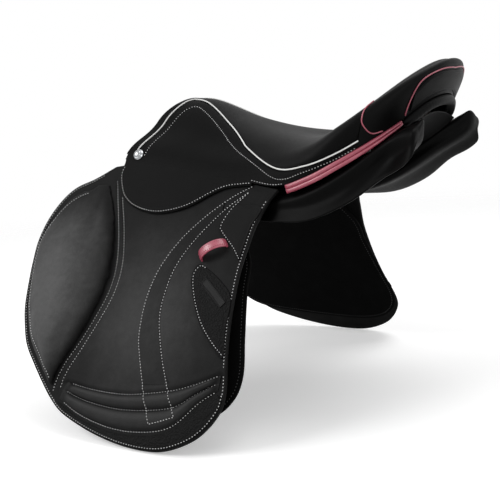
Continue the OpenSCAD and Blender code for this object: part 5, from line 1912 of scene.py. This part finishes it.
@dataclass
class Skirts:
    """The two skirts, their stitching and the round nails at their front."""

    plane: FlapPlane
    edge: Shares = (
        (0.012, 0.108), (-0.03, 0.11), (-0.089, 0.118), (-0.142, 0.14), (-0.218, 0.181), (-0.295, 0.204),
        (-0.376, 0.21), (-0.461, 0.19), (-0.518, 0.154), (-0.547, 0.11), (-0.563, 0.062), (-0.553, 0.016),
    )
    lap: float = 0.35
    rounding: Ridge = Ridge(-1.2, 0.0, 1.3)
    row_inset: float = 3.2
    nail: Pair = (-0.500, -0.012)
    nail_radius: float = 8.0
    nail_foot: float = 0.9
    nail_dome: float = 4.5
    nail_lip: float = 0.5
    nail_power: float = 2.6
    nail_groove: Ridge = Ridge(-0.5, 0.66, 0.07)
    nail_seat: float = 9.3
    body: str = "skirt"

    def build(self) -> None:
        """Make the skirts and the nails."""
        self.make_skirt()
        self.make_nail()

    def make_skirt(self) -> None:
        """Skirt: a sheet ruled from its curved edge to the fold line, stitched inside the edge.

        The outer face is flush with the seat side at the fold and rounds over towards the edge.
        """
        edge = self.plane.even(self.edge, 300, 160)
        u = np.linspace(edge[0, 0], edge[-1, 0], len(edge))
        top = np.stack([u, self.plane.fold(u) - self.lap], -1)
        t = np.concatenate([[0, 0.004, 0.01, 0.02, 0.04, 0.07], np.linspace(0.11, 1, 14)])
        spots = edge[:, None] + (top - edge)[:, None] * t[:, None]
        low = np.linalg.norm(spots - edge[:, None], axis=-1)
        outer = self.plane.place(spots, self.plane.skirt_outer + self.rounding.at(low))
        made = sheet("skirt_left", outer, self.plane.place(spots, self.plane.skirt_inner))
        both_sides(made, "skirt", SIDE_LEATHER, self.body, stands=True)
        along = unit(np.gradient(edge, axis=0))
        inner = edge + self.row_inset * np.stack([-along[:, 1], along[:, 0]], -1)
        path = self.plane.place(inner[1:-3], self.plane.skirt_outer)
        runs = [(path, self.plane.outs(path))]
        STITCHES.sew("skirt_stitching", runs, THREAD, self.body)

    def make_nail(self) -> None:
        """Nail: a domed head with a rolled rim, turned about its own axis."""
        t = np.linspace(0, 1, 26)
        out = 1 - 0.999 * t**1.4
        dome = self.nail_dome * (1 - out**self.nail_power) + self.nail_lip + self.nail_groove.at(out)
        r = self.nail_radius * np.concatenate([[self.nail_foot], out])
        z = np.concatenate([[0.0], dome])
        spots = self.plane.spots(self.nail) + r[:, None, None] * circle(1.0, 48)
        rings = self.plane.place(spots, self.nail_seat + np.broadcast_to(z[:, None], spots.shape[:2]))
        left = tube("nail_left", rings)
        for made in (left, mirror_object(left, "nail_right")):
            dress(made, CHROME, "saddle", ["nails"])


@dataclass
class Underside:
    """Sweat flaps, girth straps, webbing, bars and tree: what lies under the flaps and the seat."""

    plane: FlapPlane
    centre: Pair = (-125.0, 205.0)
    row_inset: float = 5.0
    row_groove: Ridge = Ridge(-0.5, 5.0, 1.4)
    sweat: Shares = (
        (-0.55, 0.198), (-0.28, 0.198), (-0.05, 0.198), (-0.02, 0.25), (0.035, 0.35), (0.045, 0.45),
        (0.072, 0.6), (0.095, 0.72), (0.08, 0.8), (0.02, 0.86), (-0.09, 0.888), (-0.26, 0.886),
        (-0.43, 0.872), (-0.58, 0.852), (-0.665, 0.8), (-0.725, 0.7), (-0.76, 0.56), (-0.745, 0.42),
        (-0.68, 0.29),
    )

    def build(self) -> None:
        """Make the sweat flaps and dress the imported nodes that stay."""
        self.make_sweat_flap()
        self.dress_straps()
        self.dress_nodes()

    def make_sweat_flap(self) -> None:
        """Sweat flap: a thin pad with a rounded edge and a row of dark stitches inside it."""
        spots = self.plane.spots(self.sweat)
        edge = smooth_path(spots[2:], 420)
        outline = resample(np.vstack([spots[:2], edge, spots[:1]]), 360)[:-1]
        pad = FlatPad(self.plane, self.plane.sweat_inner, rings=30, radius=1.2)

        def level(places: Array, away: Array) -> Array:
            """Even height with a pressed line inside the edge."""
            return self.plane.sweat_outer + self.row_groove.at(away)

        made = pad.make("sweat_flap_left", outline, self.centre, level)
        both_sides(made, "sweat_flap", SWEAT_LEATHER, "saddle", stands=True)
        inner = pad_rings(edge, np.array(self.centre), [self.row_inset], [1.0])[0][6:-6]
        face = self.plane.place(inner, self.plane.sweat_outer - 0.3)
        out = self.plane.outs(face)
        runs = [(face, out), (self.plane.place(inner, self.plane.sweat_inner), -out)]
        STITCHES.sew("sweat_stitching", runs, DARK_THREAD, "saddle")

    def dress_straps(self) -> None:
        """Straps and webs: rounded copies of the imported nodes."""
        for side in Side:
            for stem in ("strap_front", "strap_rear"):
                node = side.name_of(stem)
                made = refined_copy(node, node + "_made", 0.7)
                dress(made, STRAP_LEATHER, node, [node])
            web = side.name_of("girth_web")
            dress(refined_copy(web, web + "_made", 0.4), WEBBING, "saddle", [web])
        made = refined_copy("seat_webbing", "seat_webbing_made", 0.3)
        dress(made, WEBBING, "saddle", ["seat_webbing"])

    def dress_nodes(self) -> None:
        """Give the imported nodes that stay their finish."""
        wood = ["tree_head", "tree_cantle"]
        wood += [side.name_of(stem) for stem in ("tree_rail", "tree_point") for side in Side]
        steel = [side.name_of(stem) for stem in ("stirrup_bar", "bar_latch") for side in Side]
        finishes = {
            TREE_WOOD: wood,
            BAR_STEEL: steel,
            PLATE_STEEL: ["head_plate", "bar_rivets"],
            BRASS: ["strap_rivets"],
        }
        for finish, nodes in finishes.items():
            for node in nodes:
                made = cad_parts[node]
                made.data.materials.clear()
                made.data.materials.append(finish.material())
                if finish is not TREE_WOOD:
                    soften(made, 0.4)
                LOG.info("%s stays, in %s", node, finish.name)


@dataclass
class Studio:
    """Floor, lamps, white surround and the camera at the photograph's place."""

    azimuth: float = 32.0
    elevation: float = 10.0
    roll: float = -4.0
    away: float = 1400.0
    focal: float = 959.0
    frame_size: float = 500.0
    aim: tuple[float, float, float] = (-86.0, 0.0, -57.0)
    surround: float = 0.45
    floor_reach: float = 2.4
    floor_lift: float = 0.34
    floor_gap: float = 0.6
    floor_grid: tuple[int, int] = (39, 64)
    fade_run: Pair = (0.55, 0.98)
    lamp_aim: tuple[float, float, float] = (-0.06, 0.0, 0.0)

    def build(self) -> None:
        """Set up everything round the saddle."""
        scene = bpy.context.scene
        scene.view_settings.view_transform = "Standard"
        self.make_camera(scene)
        self.make_world(scene)
        self.make_lamps()
        self.make_floor()

    def axes(self) -> tuple[Array, Array, Array]:
        """The camera's right, up and backward directions."""
        a, e, r = (math.radians(angle) for angle in (self.azimuth, self.elevation, self.roll))
        flat = np.array([math.cos(a), math.sin(a), 0.0])
        back = np.array([math.sin(a) * math.cos(e), -math.cos(a) * math.cos(e), math.sin(e)])
        up = np.cross(back, flat)
        right = math.cos(r) * flat + math.sin(r) * up
        return right, -math.sin(r) * flat + math.cos(r) * up, back

    def make_camera(self, scene: bpy.types.Scene) -> None:
        """Camera that looks at the aim from the photograph's side."""
        right, up, back = self.axes()
        lens = bpy.data.cameras.new("camera")
        lens.sensor_width = 36.0
        lens.lens = self.focal / self.frame_size * lens.sensor_width
        lens.clip_end = 50.0
        made = bpy.data.objects.new("camera", lens)
        eye = (np.array(self.aim) + back * self.away) * MM
        turn = Matrix(np.stack([right, up, back], -1).tolist()).to_4x4()
        made.matrix_world = Matrix.Translation(Vector(eye)) @ turn
        scene.collection.objects.link(made)
        scene.camera = made

    def make_world(self, scene: bpy.types.Scene) -> None:
        """White where a camera, glossy or transmission ray meets it, soft light elsewhere."""
        world = bpy.data.worlds.new("studio")
        world.use_nodes = True
        scene.world = world
        shade = Shade(world.node_tree)
        rays = [shade.node("ShaderNodeLightPath", {}, {}, name) for name in
                ("Is Camera Ray", "Is Glossy Ray", "Is Transmission Ray")]
        seen = rays[0] + rays[1] + rays[2]
        soft = shade.node("ShaderNodeBackground", {}, {"Color": (1.0, 1.0, 1.0), "Strength": self.surround})
        white = shade.node("ShaderNodeBackground", {}, {"Color": (1.0, 1.0, 1.0), "Strength": 1.0})
        both = shade.node("ShaderNodeMixShader", {}, {0: seen, 1: soft, 2: white})
        made = shade.tree.nodes.new("ShaderNodeOutputWorld")
        shade.tree.links.new(both.socket, made.inputs["Surface"])

    def make_lamp(self, name: str, place: Sequence[float], size: float, power: float) -> None:
        """One square soft lamp that faces the saddle."""
        lamp = bpy.data.lights.new(name, "AREA")
        lamp.shape = "SQUARE"
        lamp.size = size
        lamp.energy = power
        made = bpy.data.objects.new(name, lamp)
        made.location = place
        towards = Vector(self.lamp_aim) - Vector(place)
        made.rotation_euler = towards.to_track_quat("-Z", "Y").to_euler()
        bpy.context.scene.collection.objects.link(made)

    def make_lamps(self) -> None:
        """A key lamp on the left, a lamp above and behind, and a low fill from the right."""
        self.make_lamp("key_lamp", (-1.5, -1.5, 1.3), 1.1, 28.0)
        self.make_lamp("top_lamp", (0.5, 0.5, 2.1), 1.6, 20.0)
        self.make_lamp("fill_lamp", (1.9, -1.2, 0.4), 1.2, 8.0)

    def make_floor(self) -> None:
        """Pale floor that fades into the white surround."""
        rings, sides = self.floor_grid
        low = CAD_BOX[0][2] / MM - self.floor_gap
        reach = np.linspace(0, self.floor_reach / MM, rings + 1)[1:]
        turn = np.hstack([circle(1.0, sides), np.zeros((sides, 1))])
        places = np.array([0.0, 0.0, low]) + reach[:, None, None] * turn
        faces = [quads(rings, sides, ring=True), np.arange(sides)[None]]
        made = make_object("floor", places.reshape(-1, 3), faces)
        finish = bpy.data.materials.new("floor_paper")
        finish.use_nodes = True
        shade = Shade(finish.node_tree)
        spot = shade.node("ShaderNodeVectorMath", {"operation": "LENGTH"}, {0: shade.place()}, 1)
        fade = spot.within(*(share * self.floor_reach for share in self.fade_run))
        seen = shade.node("ShaderNodeLightPath", {}, {}, "Is Camera Ray")
        dull = shade.node("ShaderNodeBsdfDiffuse", {}, {"Color": (0.9, 0.9, 0.9)})
        glow = shade.node("ShaderNodeEmission", {}, {"Strength": seen * self.floor_lift})
        paper = shade.node("ShaderNodeAddShader", {}, {0: dull, 1: glow})
        clear = shade.node("ShaderNodeBsdfTransparent", {}, {})
        shade.output(shade.node("ShaderNodeMixShader", {}, {0: fade, 1: paper, 2: clear}))
        made.data.materials.append(finish)


def main() -> None:
    """Build the saddle's pieces in order."""
    logging.basicConfig(level=logging.INFO, format="%(name)s: %(message)s")
    plane = FlapPlane()
    shape = SeatShape(plane)
    Studio().build()
    for part in (Seat(shape), Cantle(shape), Panels(shape), Flaps(plane), Skirts(plane), Underside(plane)):
        part.build()


if __name__ == "__main__":
    main()
